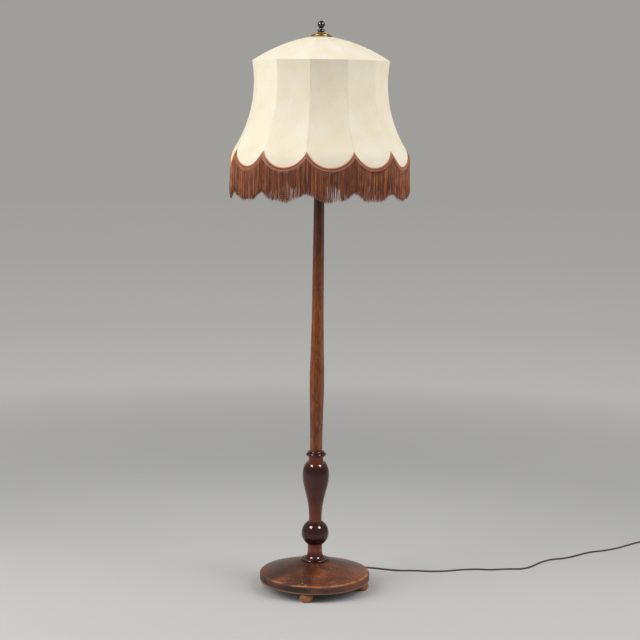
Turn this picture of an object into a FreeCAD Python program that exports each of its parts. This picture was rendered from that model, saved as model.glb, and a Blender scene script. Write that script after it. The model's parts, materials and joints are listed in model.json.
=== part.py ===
import FreeCAD, Part
import math
import os
from FreeCAD import Vector

os.makedirs("parts", exist_ok=True)

# Candlestick floor lamp: a round turned base on four bun feet, a turned baluster, a tall
# six-sided shaft, a two-light cluster and a twelve-panel silk shade with a scalloped fringe.
# Millimetres. The origin is on the floor under the column axis, +Z is up and the front is -Y.
# Plan angles are counted in degrees from the front towards +X.

# ---------------------------------------------------------------- driving dimensions

# fits
glue_gap = 0.15             # wood and metal pieces that are pushed or glued together
slip_gap = 0.3              # pieces that turn or pass freely

# feet
foot_count = 4
foot_turn = -9.5            # plan angle of the first foot
foot_circle = 141.0         # radius of the circle of feet
foot_height = 26.0
foot_radius = 20.0
foot_pad_radius = 14.0      # the flat that stands on the floor
foot_neck_radius = 15.0
screw_radius = 2.0
screw_head_radius = 4.0
screw_head_height = 3.0
screw_length = 36.0         # from under the head to the point
screw_point = 4.0
screw_slot = 1.0
screw_sink = 6.0            # depth of the hole that hides the screw head

# base disc
base_radius = 161.5
rim_height = 22.0
rim_round = 3.5
rim_bead_height = 3.0
rim_groove = 1.2
dome_shoulder = 153.0       # where the domed top meets the flat edge of the rim
dome_rise = 35.5
dome_middle_out = 0.66      # a point on the dome: its share of the shoulder's radius
dome_middle_up = 0.5        # and its share of the rise
dome_flat_radius = 41.6
recess_radius = 32.0
recess_depth = 30.0
socket_depth = 15.0
socket_radius = 13.0

# turned lower column, heights above its foot
foot_flange_radius = 40.9
foot_flange_height = 5.5
neck_radius = 21.8          # just under the ball
ball_radius = 40.0
ball_height = 82.3          # middle of the ball
stem_radius = 18.9          # just over the ball
column_bore = 5.3
collar_top = 327.5
socket_top_depth = 30.0
shaft_tenon_radius = 11.0

# six-sided shaft: corner radius at fractions of its length
shaft_length = 824.0
shaft_sides = 6
shaft_turn = 3.0            # the front face looks a little past the front
shaft_girth = ((0.0, 17.8), (0.10, 18.8), (0.25, 21.3), (0.375, 19.1), (0.47, 17.6),
               (0.66, 16.6), (0.855, 15.2), (1.0, 14.5))

# tie tube, washer and nut that clamp base, columns and cluster together
tube_radius = 5.0
tube_inner_radius = 4.0
washer_radius = 20.0
washer_thickness = 2.0
nut_across_flats = 17.0
nut_height = 6.0
tube_below_nut = 2.0

# brass cap and cluster on top of the shaft
cap_skirt_height = 8.0
cap_wall = 1.2
cap_plate_radius = 19.0
cap_plate_height = 4.0
cluster_height = 50.0
cluster_radius = 17.0
cluster_cavity_radius = 11.0
cluster_floor = 11.0
cluster_roof = 12.0

# arms and lampholders
arm_reach = 60.0
arm_height = 26.0           # arm axis above the cluster's foot
arm_bend = 20.0
arm_radius = 5.0
arm_bore = 3.5
arm_rise = 14.0             # straight end above the bend
wire_radius = 1.1           # one core of the flex inside each arm
wire_spread = 1.3
wire_bend = 8.0
dish_radius = 23.0
dish_lip = 7.0
dish_wall = 1.2
holder_radius = 19.0
holder_wall = 2.0
holder_height = 56.0
holder_floor = 3.0
core_height = 18.0
core_well_radius = 13.8
core_well_height = 26.0
key_height = 13.0           # switch spindle above the holder's underside
key_radius = 2.0
key_reach = 13.0            # middle of the wing beyond the holder
key_wing_radius = 7.5
key_wing_thickness = 3.2

# bulbs
bulb_cap_radius = 13.1
bulb_cap_height = 26.0
bulb_radius = 30.0
bulb_length = 107.0
bulb_neck_radius = 12.6
bulb_wall = 1.0

# stem and the brass fittings above the shade
stem_inner_radius = 3.4
rest_radius = 12.0
rest_height = 8.0
hub_radius = 24.0
hub_thickness = 3.4
hat_radius = 31.0
hat_height = 13.4
finial_height = 33.0
finial_ball_radius = 10.8
finial_ring_radius = 11.0
finial_neck_radius = 6.0
finial_stud_radius = 3.1
finial_stud_length = 12.0

# shade frame and cloth: the crown's height, steps down from it, and widths as the distance from
# the axis to the middle of a panel
panel_count = 12
first_rib_angle = -7.9
cloth = 0.8
cloth_gap = 0.3
rib_radius = 1.5
ring_radius = 2.0
crown_z = 1603.7
crown_width = 28.0
dome_middle_drop = 26.4     # crown to a point halfway down the dome
dome_middle_width = 116.1
shoulder_drop = 66.7        # crown to the seam at the shoulder
waist_drop = 60.0           # shoulder to the narrowest place
waist_width = 184.5
side_arc_radius = 355.0
flare_angle = 31.5          # lean of the side where the scalloped lobe begins
hem_drop = 236.5            # waist to the lowest point of each scallop
scallop_drop = 39.5         # depth of each scallop below its cusps
hem_tail = 2.0
inside_x = 100.0            # a place well inside the shade, where each panel's cuts start
braid_width = 10.0
braid_thickness = 2.5
fringe_thickness = 4.0
fringe_drop = 89.5          # hem to the fringe's lowest point
fringe_scallop_drop = 24.5  # depth of the scallops along the fringe's lower edge

# flex: round cord, its way out of the base, its loose run, its coil and its plug
cord_radius = 2.5
lead_z = 35.0
lead_bend = 10.0
cord_exit_angle = 160.0
bush_outside = 18.0
bush_inside = 12.0
bush_radius = 5.6
bush_tip_radius = 3.4
cord_straight = 12.0        # straight stretch beyond the bush
coil_x = 1126.0
coil_y = 575.25
coil_outer_radius = 38.25
coil_pitch = 5.5
coil_turns_low = 3
coil_half_turns_high = 5
coil_lead_in = 5.0
coil_tail = 24.0
plug_width = 37.0
plug_length = 34.0
relief_length = 22.0
relief_root_radius = 5.5
pin_radius = 2.0
pin_length = 19.0
pin_spacing = 19.0
pin_root = 8.0              # depth of each pin inside the plug

# ---------------------------------------------------------------- levels that follow

axis_up = Vector(0, 0, 1)
rim_top = foot_height + rim_height
dome_top = rim_top + dome_rise
recess_top = foot_height + recess_depth
socket_floor = dome_top - socket_depth
screw_top = screw_sink + screw_length
collar_z = dome_top + collar_top
shaft_top = collar_z + shaft_length
tube_bottom = recess_top - washer_thickness - nut_height - tube_below_nut
cluster_z = shaft_top + cap_plate_height
arm_z = cluster_z + arm_height
tube_top = cluster_z + cluster_floor
stem_bottom = cluster_z + cluster_height - cluster_roof
arm_top = arm_z + arm_bend + arm_rise
holder_z = arm_top - holder_floor
core_z = arm_top + glue_gap
dome_middle_z = crown_z - dome_middle_drop
shoulder_z = crown_z - shoulder_drop
waist_z = shoulder_z - waist_drop
hem_z = waist_z - hem_drop
cusp_z = hem_z + scallop_drop
fringe_low_z = hem_z - fringe_drop
fringe_cusp_z = fringe_low_z + fringe_scallop_drop
half_panel = math.pi / panel_count
cord_z = cord_radius
plug_z = cord_z + coil_pitch


# ---------------------------------------------------------------- small helpers

def polar(radius, degrees, z=0.0):
    """A point at a plan angle counted from the front towards +X."""
    angle = math.radians(degrees)
    return Vector(radius * math.sin(angle), -radius * math.cos(angle), z)


def rod(radius, low, high, x=0.0, y=0.0):
    """An upright cylinder between two heights."""
    return Part.makeCylinder(radius, high - low, Vector(x, y, low))


def ring(outer, inner, low, high, x=0.0, y=0.0):
    """An upright tube between two heights."""
    return rod(outer, low, high, x, y).cut(rod(inner, low - 1, high + 1, x, y))


def outline(start, *steps):
    """A face in the XZ plane. A step of two numbers is a straight line to that point, a step of
    two points is an arc through the first to the second, and a list is a smooth curve."""
    edges = []
    here = start

    def point(pair):
        return Vector(pair[0], 0, pair[1])

    for step in list(steps) + [start]:
        if isinstance(step, list):
            curve = Part.BSplineCurve()
            curve.interpolate([point(here)] + [point(pair) for pair in step])
            edges.append(curve.toShape())
            here = step[-1]
        elif isinstance(step[0], tuple):
            edges.append(Part.Arc(point(here), point(step[0]), point(step[1])).toShape())
            here = step[1]
        else:
            edges.append(Part.LineSegment(point(here), point(step)).toShape())
            here = step
    return Part.Face(Part.Wire(edges))


def turned(face, x=0.0, z=0.0):
    """The solid that a half section gives on the lathe, stood at x and z."""
    solid = face.revolve(Vector(0, 0, 0), axis_up, 360)
    solid.translate(Vector(x, 0, z))
    return solid


def pipe(path, radius):
    """A round bar along a wire."""
    start = path.OrderedVertexes[0].Point
    tangent = path.OrderedEdges[0].tangentAt(path.OrderedEdges[0].FirstParameter)
    if (path.OrderedEdges[0].valueAt(path.OrderedEdges[0].FirstParameter) - start).Length > 0.001:
        tangent = path.OrderedEdges[0].tangentAt(path.OrderedEdges[0].LastParameter) * -1
    circle = Part.Wire(Part.makeCircle(radius, start, tangent))
    return path.makePipeShell([circle], True, False)


def rounded_path(points, bends=None):
    """A wire of straight runs joined by tangent arcs. Without a list of bends each arc is as
    large as its two runs allow. Returns the wire and the list of arc radii."""
    edges = []
    radii = []
    here = points[0]
    for number, corner in enumerate(points[1:-1]):
        before = points[number]
        after = points[number + 2]
        back = before - corner
        ahead = after - corner
        turn = math.pi - back.getAngle(ahead)
        if bends is None:
            bend = 0.45 * min(back.Length, ahead.Length) / math.tan(turn / 2)
        else:
            bend = bends[number]
        radii.append(bend)
        trim = bend * math.tan(turn / 2)
        begin = corner + back.normalize() * trim
        end = corner + ahead.normalize() * trim
        inward = (back + ahead).normalize()
        middle = corner + inward * (bend / math.cos(turn / 2) - bend)
        edges.append(Part.LineSegment(here, begin).toShape())
        edges.append(Part.Arc(begin, middle, end).toShape())
        here = end
    edges.append(Part.LineSegment(here, points[-1]).toShape())
    return Part.Wire(edges), radii


def save(name, solid):
    """Write one piece, or one group of like pieces, to its own file."""
    solid.exportStep("parts/" + name + ".step")


# ---------------------------------------------------------------- base and feet

def foot():
    """A bun foot: a swelling side between a flat pad and a narrower neck."""
    widest = foot_height * 0.48
    section = outline((0, 0),
                      (foot_pad_radius, 0),
                      ((foot_radius, widest), (foot_neck_radius, foot_height - glue_gap)),
                      (0, foot_height - glue_gap))
    body = turned(section)
    hole = rod(screw_radius + glue_gap, -1, foot_height + 1)
    head_hole = rod(screw_head_radius + glue_gap, -1, screw_sink + glue_gap)
    return body.cut(hole).cut(head_hole)


def foot_screw():
    """A slotted wood screw up through the foot into the base disc."""
    head_low = screw_sink - screw_head_height
    screw = turned(outline((0, head_low),
                           (screw_head_radius, head_low),
                           (screw_head_radius, screw_sink),
                           (screw_radius, screw_sink),
                           (screw_radius, screw_top - screw_point),
                           (0, screw_top)))
    slot = Part.makeBox(4 * screw_head_radius, screw_slot, screw_slot,
                        Vector(-2 * screw_head_radius, -screw_slot / 2, head_low))
    return screw.cut(slot)


def foot_place(number):
    return polar(foot_circle, foot_turn + 360.0 / foot_count * number)


def base_disc():
    """The turned disc: a beaded rim, a domed top, a socket for the column and a recess below."""
    rim_low = foot_height
    groove_z = rim_low + rim_bead_height
    section = outline(
        (column_bore, recess_top),
        (recess_radius, recess_top),
        (recess_radius, rim_low),
        (base_radius - 1.5, rim_low),
        ((base_radius, rim_low + rim_bead_height / 2), (base_radius - rim_groove, groove_z)),
        (base_radius - 0.4, groove_z + 1.2),
        (base_radius, rim_top - rim_round),
        ((base_radius - rim_round * 0.3, rim_top - rim_round * 0.3), (base_radius - rim_round, rim_top)),
        (dome_shoulder, rim_top + 1.0),
        ((dome_shoulder * dome_middle_out, rim_top + dome_rise * dome_middle_up),
         (dome_flat_radius, dome_top)),
        (socket_radius + glue_gap, dome_top),
        (socket_radius + glue_gap, socket_floor),
        (column_bore, socket_floor))
    disc = turned(section)
    way_out = Part.makeCylinder(cord_radius + 0.7, base_radius + 5, Vector(0, 0, lead_z),
                                polar(1, cord_exit_angle))
    seat = Part.makeCylinder(bush_radius + glue_gap, bush_inside + 5,
                             polar(base_radius - bush_inside - glue_gap, cord_exit_angle, lead_z),
                             polar(1, cord_exit_angle))
    disc = disc.cut(way_out).cut(seat)
    for number in range(foot_count):
        place = foot_place(number)
        disc = disc.cut(rod(screw_radius + glue_gap, foot_height - 1, screw_top + slip_gap,
                            place.x, place.y))
    return disc


def cord_bush():
    """Tapered rubber bush that keeps the flex from bending sharply at the rim."""
    inner_end = base_radius - bush_inside
    section = outline((cord_radius + glue_gap, 0),
                      (bush_radius, 0),
                      (bush_radius, bush_inside + 2),
                      ((bush_tip_radius + 1.2, bush_inside + bush_outside * 0.45),
                       (bush_tip_radius, bush_inside + bush_outside)),
                      (cord_radius + glue_gap, bush_inside + bush_outside))
    bush = section.revolve(Vector(0, 0, 0), axis_up, 360)
    bush.Placement = FreeCAD.Placement(polar(inner_end, cord_exit_angle, lead_z),
                                       FreeCAD.Rotation(axis_up, polar(1, cord_exit_angle)))
    return bush


def base_washer():
    return ring(washer_radius, tube_radius + glue_gap, recess_top - washer_thickness, recess_top)


def hex_bar(across_flats, low, high, turn=0.0):
    """A six-sided bar on the column axis."""
    corner = across_flats / math.sqrt(3)
    corners = [polar(corner, 60 * k + turn, low) for k in range(7)]
    return Part.Face(Part.makePolygon(corners)).extrude(Vector(0, 0, high - low))


def base_nut():
    top = recess_top - washer_thickness
    blank = hex_bar(nut_across_flats, top - nut_height, top)
    return blank.cut(rod(tube_radius + glue_gap, top - nut_height - 1, top + 1))


def tie_tube():
    return ring(tube_radius, tube_inner_radius, tube_bottom, tube_top)


# ---------------------------------------------------------------- column

def lower_column():
    """The turned baluster: flange, flared foot, neck, ball, vase, neck and collar bead."""
    flange_top = foot_flange_height
    ball_low = ball_height - math.sqrt(ball_radius ** 2 - neck_radius ** 2)
    ball_high = ball_height + math.sqrt(ball_radius ** 2 - stem_radius ** 2)
    section = outline(
        (column_bore, -socket_depth + glue_gap),
        (socket_radius, -socket_depth + glue_gap),
        (socket_radius, 0),
        (foot_flange_radius - 1.5, 0),
        ((foot_flange_radius, flange_top / 2), (foot_flange_radius - 1.5, flange_top)),
        (32.0, flange_top + 0.8),
        ((25.3, 13.0), (21.8, 24.0)),
        [(21.4, 35.0), (neck_radius, ball_low)],
        ((ball_radius, ball_height), (stem_radius, ball_high)),
        [(18.9, 136.5), (20.8, 159.5), (25.1, 184.0), (30.9, 208.0), (36.6, 231.5),
         (38.2, 244.5), (38.8, 256.5), (38.0, 268.5), (35.2, 280.5), (29.6, 291.5)],
        (28.6, 293.8),
        (23.4, 295.0),
        ((21.4, 304.0), (22.6, 313.0)),
        ((29.0, 318.5), (25.4, 323.0)),
        (22.9, 323.3),
        ((23.6, 325.5), (22.4, collar_top)),
        (shaft_tenon_radius + glue_gap, collar_top),
        (shaft_tenon_radius + glue_gap, collar_top - socket_top_depth - glue_gap),
        (column_bore, collar_top - socket_top_depth - glue_gap))
    return turned(section, z=dome_top)


def shaft_section(radius, z):
    """A six-sided ring of edges with a corner radius."""
    corners = []
    for k in range(shaft_sides + 1):
        corners.append(polar(radius, 360.0 / shaft_sides * (k + 0.5) + shaft_turn, z))
    return Part.makePolygon(corners)


def upper_column():
    """The tall shaft, swelling at a quarter of its height and slimming to the top."""
    sections = []
    for share, radius in shaft_girth:
        sections.append(shaft_section(radius, collar_z + shaft_length * share))
    shaft = Part.makeLoft(sections, True, False)
    tenon = rod(shaft_tenon_radius, collar_z - socket_top_depth, collar_z + 1)
    bore = rod(column_bore, collar_z - socket_top_depth - 1, shaft_top + 1)
    return shaft.fuse(tenon).cut(bore)


# ---------------------------------------------------------------- brass cap and cluster

def column_cap():
    """A brass cap whose skirt slips over the top corners of the shaft."""
    corner = shaft_girth[-1][1] + slip_gap
    bore = tube_radius + glue_gap
    skirt_low = shaft_top - cap_skirt_height
    section = outline(
        (bore, shaft_top),
        (corner + 0.4, shaft_top),
        (corner + 0.4, skirt_low),
        (corner + 0.4 + cap_wall, skirt_low),
        (corner + 0.4 + cap_wall, shaft_top - 1),
        (cap_plate_radius - 1, shaft_top),
        ((cap_plate_radius, shaft_top + cap_plate_height / 2),
         (cap_plate_radius - 2, shaft_top + cap_plate_height)),
        (bore, shaft_top + cap_plate_height))
    return turned(section)


def cluster_body():
    """A hollow turned vase that takes the two arms and the stem."""
    top = cluster_height
    section = outline(
        (tube_radius + glue_gap, 0),
        (12.0, 0),
        ((10.5, 4.0), (13.0, 8.0)),
        ((cluster_radius, arm_height - 8), (cluster_radius + 0.5, arm_height)),
        ((cluster_radius - 0.5, arm_height + 9), (13.0, top - 8)),
        ((9.5, top - 4), (9.0, top)),
        (tube_radius + glue_gap, top),
        (tube_radius + glue_gap, top - cluster_roof),
        (cluster_cavity_radius, top - cluster_roof - 3),
        (cluster_cavity_radius, cluster_floor + 2),
        (tube_radius + glue_gap, cluster_floor))
    body = turned(section, z=cluster_z)
    across = Part.makeCylinder(arm_radius + glue_gap, 2 * cluster_radius + 10,
                               Vector(-cluster_radius - 5, 0, arm_z), Vector(1, 0, 0))
    return body.cut(across)


def arm_path(inner_x, top_z):
    """The arm's centre line: out along +X, then up."""
    return rounded_path([Vector(inner_x, 0, arm_z), Vector(arm_reach, 0, arm_z),
                         Vector(arm_reach, 0, top_z)], [arm_bend])[0]


def arm():
    start = cluster_cavity_radius + 0.2
    outer = pipe(arm_path(start, arm_top), arm_radius)
    inner = pipe(arm_path(start - 1, arm_top + 1), arm_bore)
    return outer.cut(inner)


def arm_wire():
    """One flex core from the top of the lead, through the arm, to the lampholder core."""
    start = Vector(wire_spread, 0, tube_top + 2)
    path = rounded_path([start, Vector(wire_spread, 0, arm_z), Vector(arm_reach, 0, arm_z),
                         Vector(arm_reach, 0, core_z)], [wire_bend, arm_bend])[0]
    return pipe(path, wire_radius)


def holder_dish():
    """A shallow brass dish under the lampholder."""
    low = holder_z - dish_wall
    flat = holder_radius - 5
    section = outline(
        (arm_radius + glue_gap, low),
        (flat, low),
        ((dish_radius - 2.6, low + 1.0), (dish_radius, low + dish_lip)),
        (dish_radius - dish_wall, low + dish_lip),
        ((dish_radius - dish_wall - 2.2, low + 2.1), (flat + 0.5, holder_z)),
        (arm_radius + glue_gap, holder_z))
    return turned(section, x=arm_reach)


def holder_shell():
    """The lampholder's outer shell, with the hole that the switch spindle passes."""
    top = holder_z + holder_height
    inner = holder_radius - holder_wall
    section = outline(
        (arm_radius + glue_gap, holder_z),
        (holder_radius - 5, holder_z),
        ((holder_radius - 1.3, holder_z + 1.65), (holder_radius, holder_z + 6)),
        (holder_radius, top - 18),
        (holder_radius + 1.2, top - 16.5),
        (holder_radius + 1.2, top - 1),
        (holder_radius + 0.2, top),
        (inner, top),
        (inner, holder_z + holder_floor),
        (arm_radius + glue_gap, holder_z + holder_floor))
    shell = turned(section, x=arm_reach)
    hole = Part.makeCylinder(key_radius + slip_gap, 30, Vector(arm_reach, 0, holder_z + key_height),
                             Vector(1, 0, 0))
    return shell.cut(hole)


def holder_core():
    """The porcelain core: a solid foot and a well for the bulb's cap."""
    outer = holder_radius - holder_wall - glue_gap
    well_floor = core_z + core_height
    well_top = well_floor + core_well_height
    block = rod(outer, core_z, well_top, arm_reach)
    well = rod(core_well_radius, well_floor, well_top + 1, arm_reach)
    hole = Part.makeCylinder(key_radius + slip_gap, 30, Vector(arm_reach, 0, holder_z + key_height),
                             Vector(1, 0, 0))
    return block.cut(well).cut(hole)


def switch_key():
    """A turn key: a spindle into the core and a flat oval wing outside."""
    z = holder_z + key_height
    wing_x = arm_reach + holder_radius + key_reach
    spindle = Part.makeCylinder(key_radius, wing_x - arm_reach - 1, Vector(arm_reach + 1, 0, z),
                                Vector(1, 0, 0))
    wing = Part.makeCylinder(key_wing_radius, key_wing_thickness,
                             Vector(wing_x, -key_wing_thickness / 2, z), Vector(0, 1, 0))
    return spindle.fuse(wing)


def bulb_cap():
    """The bulb's screw cap with its contact tip, seated in the well."""
    low = core_z + core_height + glue_gap
    inside = bulb_cap_radius - 1.4
    section = outline(
        (0, low),
        (4.5, low),
        (5.0, low + 1.6),
        (11.0, low + 3.6),
        (bulb_cap_radius, low + 5.0),
        (bulb_cap_radius, low + bulb_cap_height - 1),
        (bulb_cap_radius - 0.6, low + bulb_cap_height),
        (inside, low + bulb_cap_height),
        (inside, low + 6.0),
        (0, low + 6.0))
    return turned(section, x=arm_reach)


def pear(radius, neck, low, centre):
    """A ball on a flared neck, the solid form of a lamp bulb."""
    waist = (centre - low) * 0.5
    blend = radius * 0.8
    section = outline(
        (0, low),
        (neck, low),
        [(neck + 1.2, low + waist * 0.45), (neck + 6.5, low + waist * 1.05),
         (blend, centre - math.sqrt(radius ** 2 - blend ** 2))],
        (0, centre - math.sqrt(radius ** 2 - blend ** 2)))
    ball = Part.makeSphere(radius, Vector(arm_reach, 0, centre))
    return turned(section, x=arm_reach).fuse(ball).removeSplitter()


def bulb_glass():
    """The pear-shaped glass, open at the neck where the cap closes it."""
    low = core_z + core_height + glue_gap + bulb_cap_height
    centre = core_z + core_height + bulb_length - bulb_radius
    outer = pear(bulb_radius, bulb_neck_radius, low, centre)
    inner = pear(bulb_radius - bulb_wall, bulb_neck_radius - bulb_wall, low - 1, centre)
    return outer.cut(inner)


# ---------------------------------------------------------------- shade geometry

panel_cos = math.cos(half_panel)
panel_tan = math.tan(half_panel)
side_centre_width = waist_width + side_arc_radius
shoulder_angle = math.asin((shoulder_z - waist_z) / side_arc_radius)
panel_top_angle = math.asin((shoulder_z - cloth - cloth_gap - waist_z) / side_arc_radius)
flare = math.radians(flare_angle)


def side_point(angle, inward=0.0):
    """A point of the side's large arc: width and height, angle up from the waist."""
    reach = side_arc_radius + inward
    return (side_centre_width - reach * math.cos(angle), waist_z + reach * math.sin(angle))


flare_start = side_point(-flare)
lobe_radius = (flare_start[1] - hem_z) / math.sin(flare)
lobe_centre_width = flare_start[0] - lobe_radius * math.cos(flare)
lobe_width = lobe_centre_width + lobe_radius


def lobe_point(angle, inward=0.0):
    """A point of the scalloped lobe, which turns back to the vertical at the hem."""
    reach = lobe_radius - inward
    return (lobe_centre_width + reach * math.cos(angle), hem_z + reach * math.sin(angle))


def width_at(z):
    """Width of the cloth's outer face at a height on the lobe."""
    return lobe_centre_width + math.sqrt(lobe_radius ** 2 - (z - hem_z) ** 2)


shoulder_width = side_point(shoulder_angle)[0]
hub_z = crown_z - cloth - cloth_gap - hub_thickness     # underside of the hub


def circle_through(a, b, c):
    """Centre and radius of the circle through three section points."""
    arc = Part.Circle(Vector(a[0], 0, a[1]), Vector(b[0], 0, b[1]), Vector(c[0], 0, c[1]))
    return (arc.Center.x, arc.Center.z), arc.Radius


dome_centre, dome_radius = circle_through((crown_width, crown_z),
                                          (dome_middle_width, dome_middle_z),
                                          (shoulder_width, shoulder_z))


def dome_point(width, inward=0.0):
    """The dome's point above a width, moved square to the cloth towards the inside."""
    rise = math.sqrt(dome_radius ** 2 - (width - dome_centre[0]) ** 2)
    share = (dome_radius - inward) / dome_radius
    return (dome_centre[0] + (width - dome_centre[0]) * share, dome_centre[1] + rise * share)


def panel_wedge(reach, low, high):
    """The slice of space that one panel fills, facing +X."""
    corners = [Vector(0, 0, low), Vector(reach, -reach * panel_tan, low),
               Vector(reach, reach * panel_tan, low), Vector(0, 0, low)]
    return Part.Face(Part.makePolygon(corners)).extrude(Vector(0, 0, high - low))


wedge_reach = lobe_width + 30
panel_half_span = wedge_reach * panel_tan
wedge = panel_wedge(wedge_reach, fringe_low_z - 20, crown_z + 20)


def stretched(face):
    """A section drawn in the XZ plane, stretched across one panel and trimmed at its ribs."""
    face.translate(Vector(0, -panel_half_span, 0))
    return face.extrude(Vector(0, 2 * panel_half_span, 0)).common(wedge)


def to_panel(solid, number):
    """A copy of a solid that faces +X, turned to a panel's place."""
    copy = solid.copy()
    middle = first_rib_angle + 360.0 / panel_count * (number + 0.5)
    copy.rotate(Vector(0, 0, 0), axis_up, middle - 90)
    return copy


# the scallop: one circular arc in front of each panel, from cusp to cusp
cusp_half_span = width_at(cusp_z) * panel_tan
scallop_radius = (cusp_half_span ** 2 + scallop_drop ** 2) / (2 * scallop_drop)
scallop_centre_z = hem_z + scallop_radius


def scallop_disc(radius):
    """A thick round plug through the panel, centred on the scallop's arc."""
    return Part.makeCylinder(radius, wedge_reach, Vector(inside_x, 0, scallop_centre_z),
                             Vector(1, 0, 0))


def side_panel():
    """Silk stretched between two ribs, cut to a scallop below."""
    tail = hem_z - hem_tail
    middle_outer = side_point((shoulder_angle - flare) / 2)
    middle_inner = side_point((shoulder_angle - flare) / 2, cloth)
    section = outline(
        side_point(panel_top_angle),
        (middle_outer, flare_start),
        (lobe_point(flare / 2), lobe_point(0)),
        (lobe_width, tail),
        (lobe_width - cloth, tail),
        lobe_point(0, cloth),
        (lobe_point(flare / 2, cloth), side_point(-flare, cloth)),
        (middle_inner, side_point(panel_top_angle, cloth)))
    panel = stretched(section)
    upper = Part.makeBox(wedge_reach, 2 * panel_half_span, crown_z - cusp_z,
                         Vector(inside_x, -panel_half_span, cusp_z))
    return panel.common(upper.fuse(scallop_disc(scallop_radius)))


def dome_gore():
    """One gore of the domed top, from the crown to the shoulder."""
    middle = (crown_width + shoulder_width) / 2
    section = outline(
        (crown_width, crown_z),
        (dome_point(middle), (shoulder_width, shoulder_z)),
        dome_point(shoulder_width, cloth),
        (dome_point(middle, cloth), dome_point(crown_width, cloth)))
    return stretched(section)


def band_between(inner_radius, outer_radius, section):
    """A strip of cloth or braid that follows the scallop between two arcs."""
    band = stretched(section)
    return band.common(scallop_disc(outer_radius).cut(scallop_disc(inner_radius)))


def braid_arc():
    """The woven braid that covers the scalloped edge."""
    out = cloth_gap
    far = cloth_gap + braid_thickness
    low = hem_z - braid_width
    section = outline(
        side_point(-flare * 0.8, -out),
        (side_point(-flare * 0.9, -out), side_point(-flare, -out)),
        (lobe_point(flare / 2, -out), lobe_point(0, -out)),
        (lobe_width + out, low),
        (lobe_width + far, low),
        lobe_point(0, -far),
        (lobe_point(flare / 2, -far), side_point(-flare, -far)),
        (side_point(-flare * 0.9, -far), side_point(-flare * 0.8, -far)))
    return band_between(scallop_radius - braid_width / 2, scallop_radius + braid_width / 2, section)


def fringe_curtain():
    """The hanging fringe of one panel: a curved curtain with a scalloped upper and lower edge."""
    outer = lobe_width + cloth_gap + braid_thickness
    curtain = ring(outer, outer - fringe_thickness, fringe_low_z - 1, cusp_z + 20).common(wedge)
    top_radius = scallop_radius + braid_width / 2 + cloth_gap
    curtain = curtain.cut(scallop_disc(top_radius))
    curtain = curtain.cut(Part.makeBox(wedge_reach, 2 * panel_half_span, 60,
                                       Vector(inside_x, -panel_half_span, cusp_z - 5)))
    low_drop = fringe_cusp_z - fringe_low_z
    low_radius = (cusp_half_span ** 2 + low_drop ** 2) / (2 * low_drop)
    lower = Part.makeCylinder(low_radius, wedge_reach,
                              Vector(inside_x, 0, fringe_low_z + low_radius), Vector(1, 0, 0))
    return curtain.common(lower)


def in_corner(place):
    """A section point moved out to the seam between two panels."""
    return Vector(place[0] / panel_cos, 0, place[1])


def arc_onwards(edge, end):
    """An arc that carries on smoothly from the end of another to a point."""
    start = edge.valueAt(edge.LastParameter)
    way = edge.tangentAt(edge.LastParameter)
    square = Vector(0, 1, 0).cross(way)
    chord = end - start
    bend = chord.Length ** 2 / (2 * chord.dot(square))
    centre = start + square * bend
    middle = centre + ((start + end) * 0.5 - centre).normalize() * abs(bend)
    return Part.Arc(start, middle, end).toShape()


def ribs():
    """Twelve bent wires under the dome and twelve down the sides, one of each per seam."""
    inward = cloth + cloth_gap + rib_radius
    lean = math.asin((shoulder_width - dome_centre[0]) / dome_radius)
    ring_clear = ring_radius + slip_gap
    dome_start = hub_radius + 0.9
    dome_end = ring_place[0] / panel_cos - ring_clear * math.cos(lean)
    dome_places = []
    for reach in (dome_start, (dome_start + dome_end) / 2, dome_end):
        dome_places.append(in_corner(dome_point(reach * panel_cos, inward)))
    dome_path = Part.Wire(Part.Arc(*dome_places).toShape())

    top_angle = math.asin((ring_place[1] - ring_clear - waist_z) / (side_arc_radius + inward))
    side_places = []
    for angle in (top_angle, (top_angle - flare) / 2, -flare):
        side_places.append(in_corner(side_point(angle, inward)))
    side_edge = Part.Arc(*side_places).toShape()
    foot_angle = math.asin((cusp_z + ring_clear + 0.5 - hem_z) / (lobe_radius - inward))
    lobe_edge = arc_onwards(side_edge, in_corner(lobe_point(foot_angle, inward)))
    side_path = Part.Wire([side_edge, lobe_edge])

    pieces = []
    for path in (dome_path, side_path):
        wire = pipe(path, rib_radius)
        for number in range(panel_count):
            copy = wire.copy()
            copy.rotate(Vector(0, 0, 0), axis_up, first_rib_angle + 360.0 / panel_count * number - 90)
            pieces.append(copy)
    return Part.Compound(pieces)


def corner_place():
    """Where the shoulder ring's wire lies: the same distance inside the dome and the side."""
    inward = cloth + cloth_gap + ring_radius
    end = dome_point(shoulder_width)
    dome_normal = Vector(end[0] - dome_centre[0], 0, end[1] - dome_centre[1]).normalize()
    side_normal = Vector(math.cos(shoulder_angle), 0, -math.sin(shoulder_angle))
    # both distances equal inward: solve the two linear equations for the shift
    det = dome_normal.x * side_normal.z - dome_normal.z * side_normal.x
    shift_x = -inward * (side_normal.z - dome_normal.z) / det
    shift_z = -inward * (dome_normal.x - side_normal.x) / det
    return shoulder_width + shift_x, shoulder_z + shift_z


ring_place = corner_place()


def joined_round(segment):
    """Twelve like segments that meet at the ribs, made one piece."""
    copies = [to_panel(segment, number) for number in range(panel_count)]
    return copies[0].multiFuse(copies[1:]).removeSplitter()


def shoulder_ring():
    """A twelve-sided ring of wire under the shoulder seam."""
    bar = Part.makeCylinder(ring_radius, 2 * panel_half_span,
                            Vector(ring_place[0], -panel_half_span, ring_place[1]), Vector(0, 1, 0))
    return joined_round(bar.common(wedge))


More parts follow.
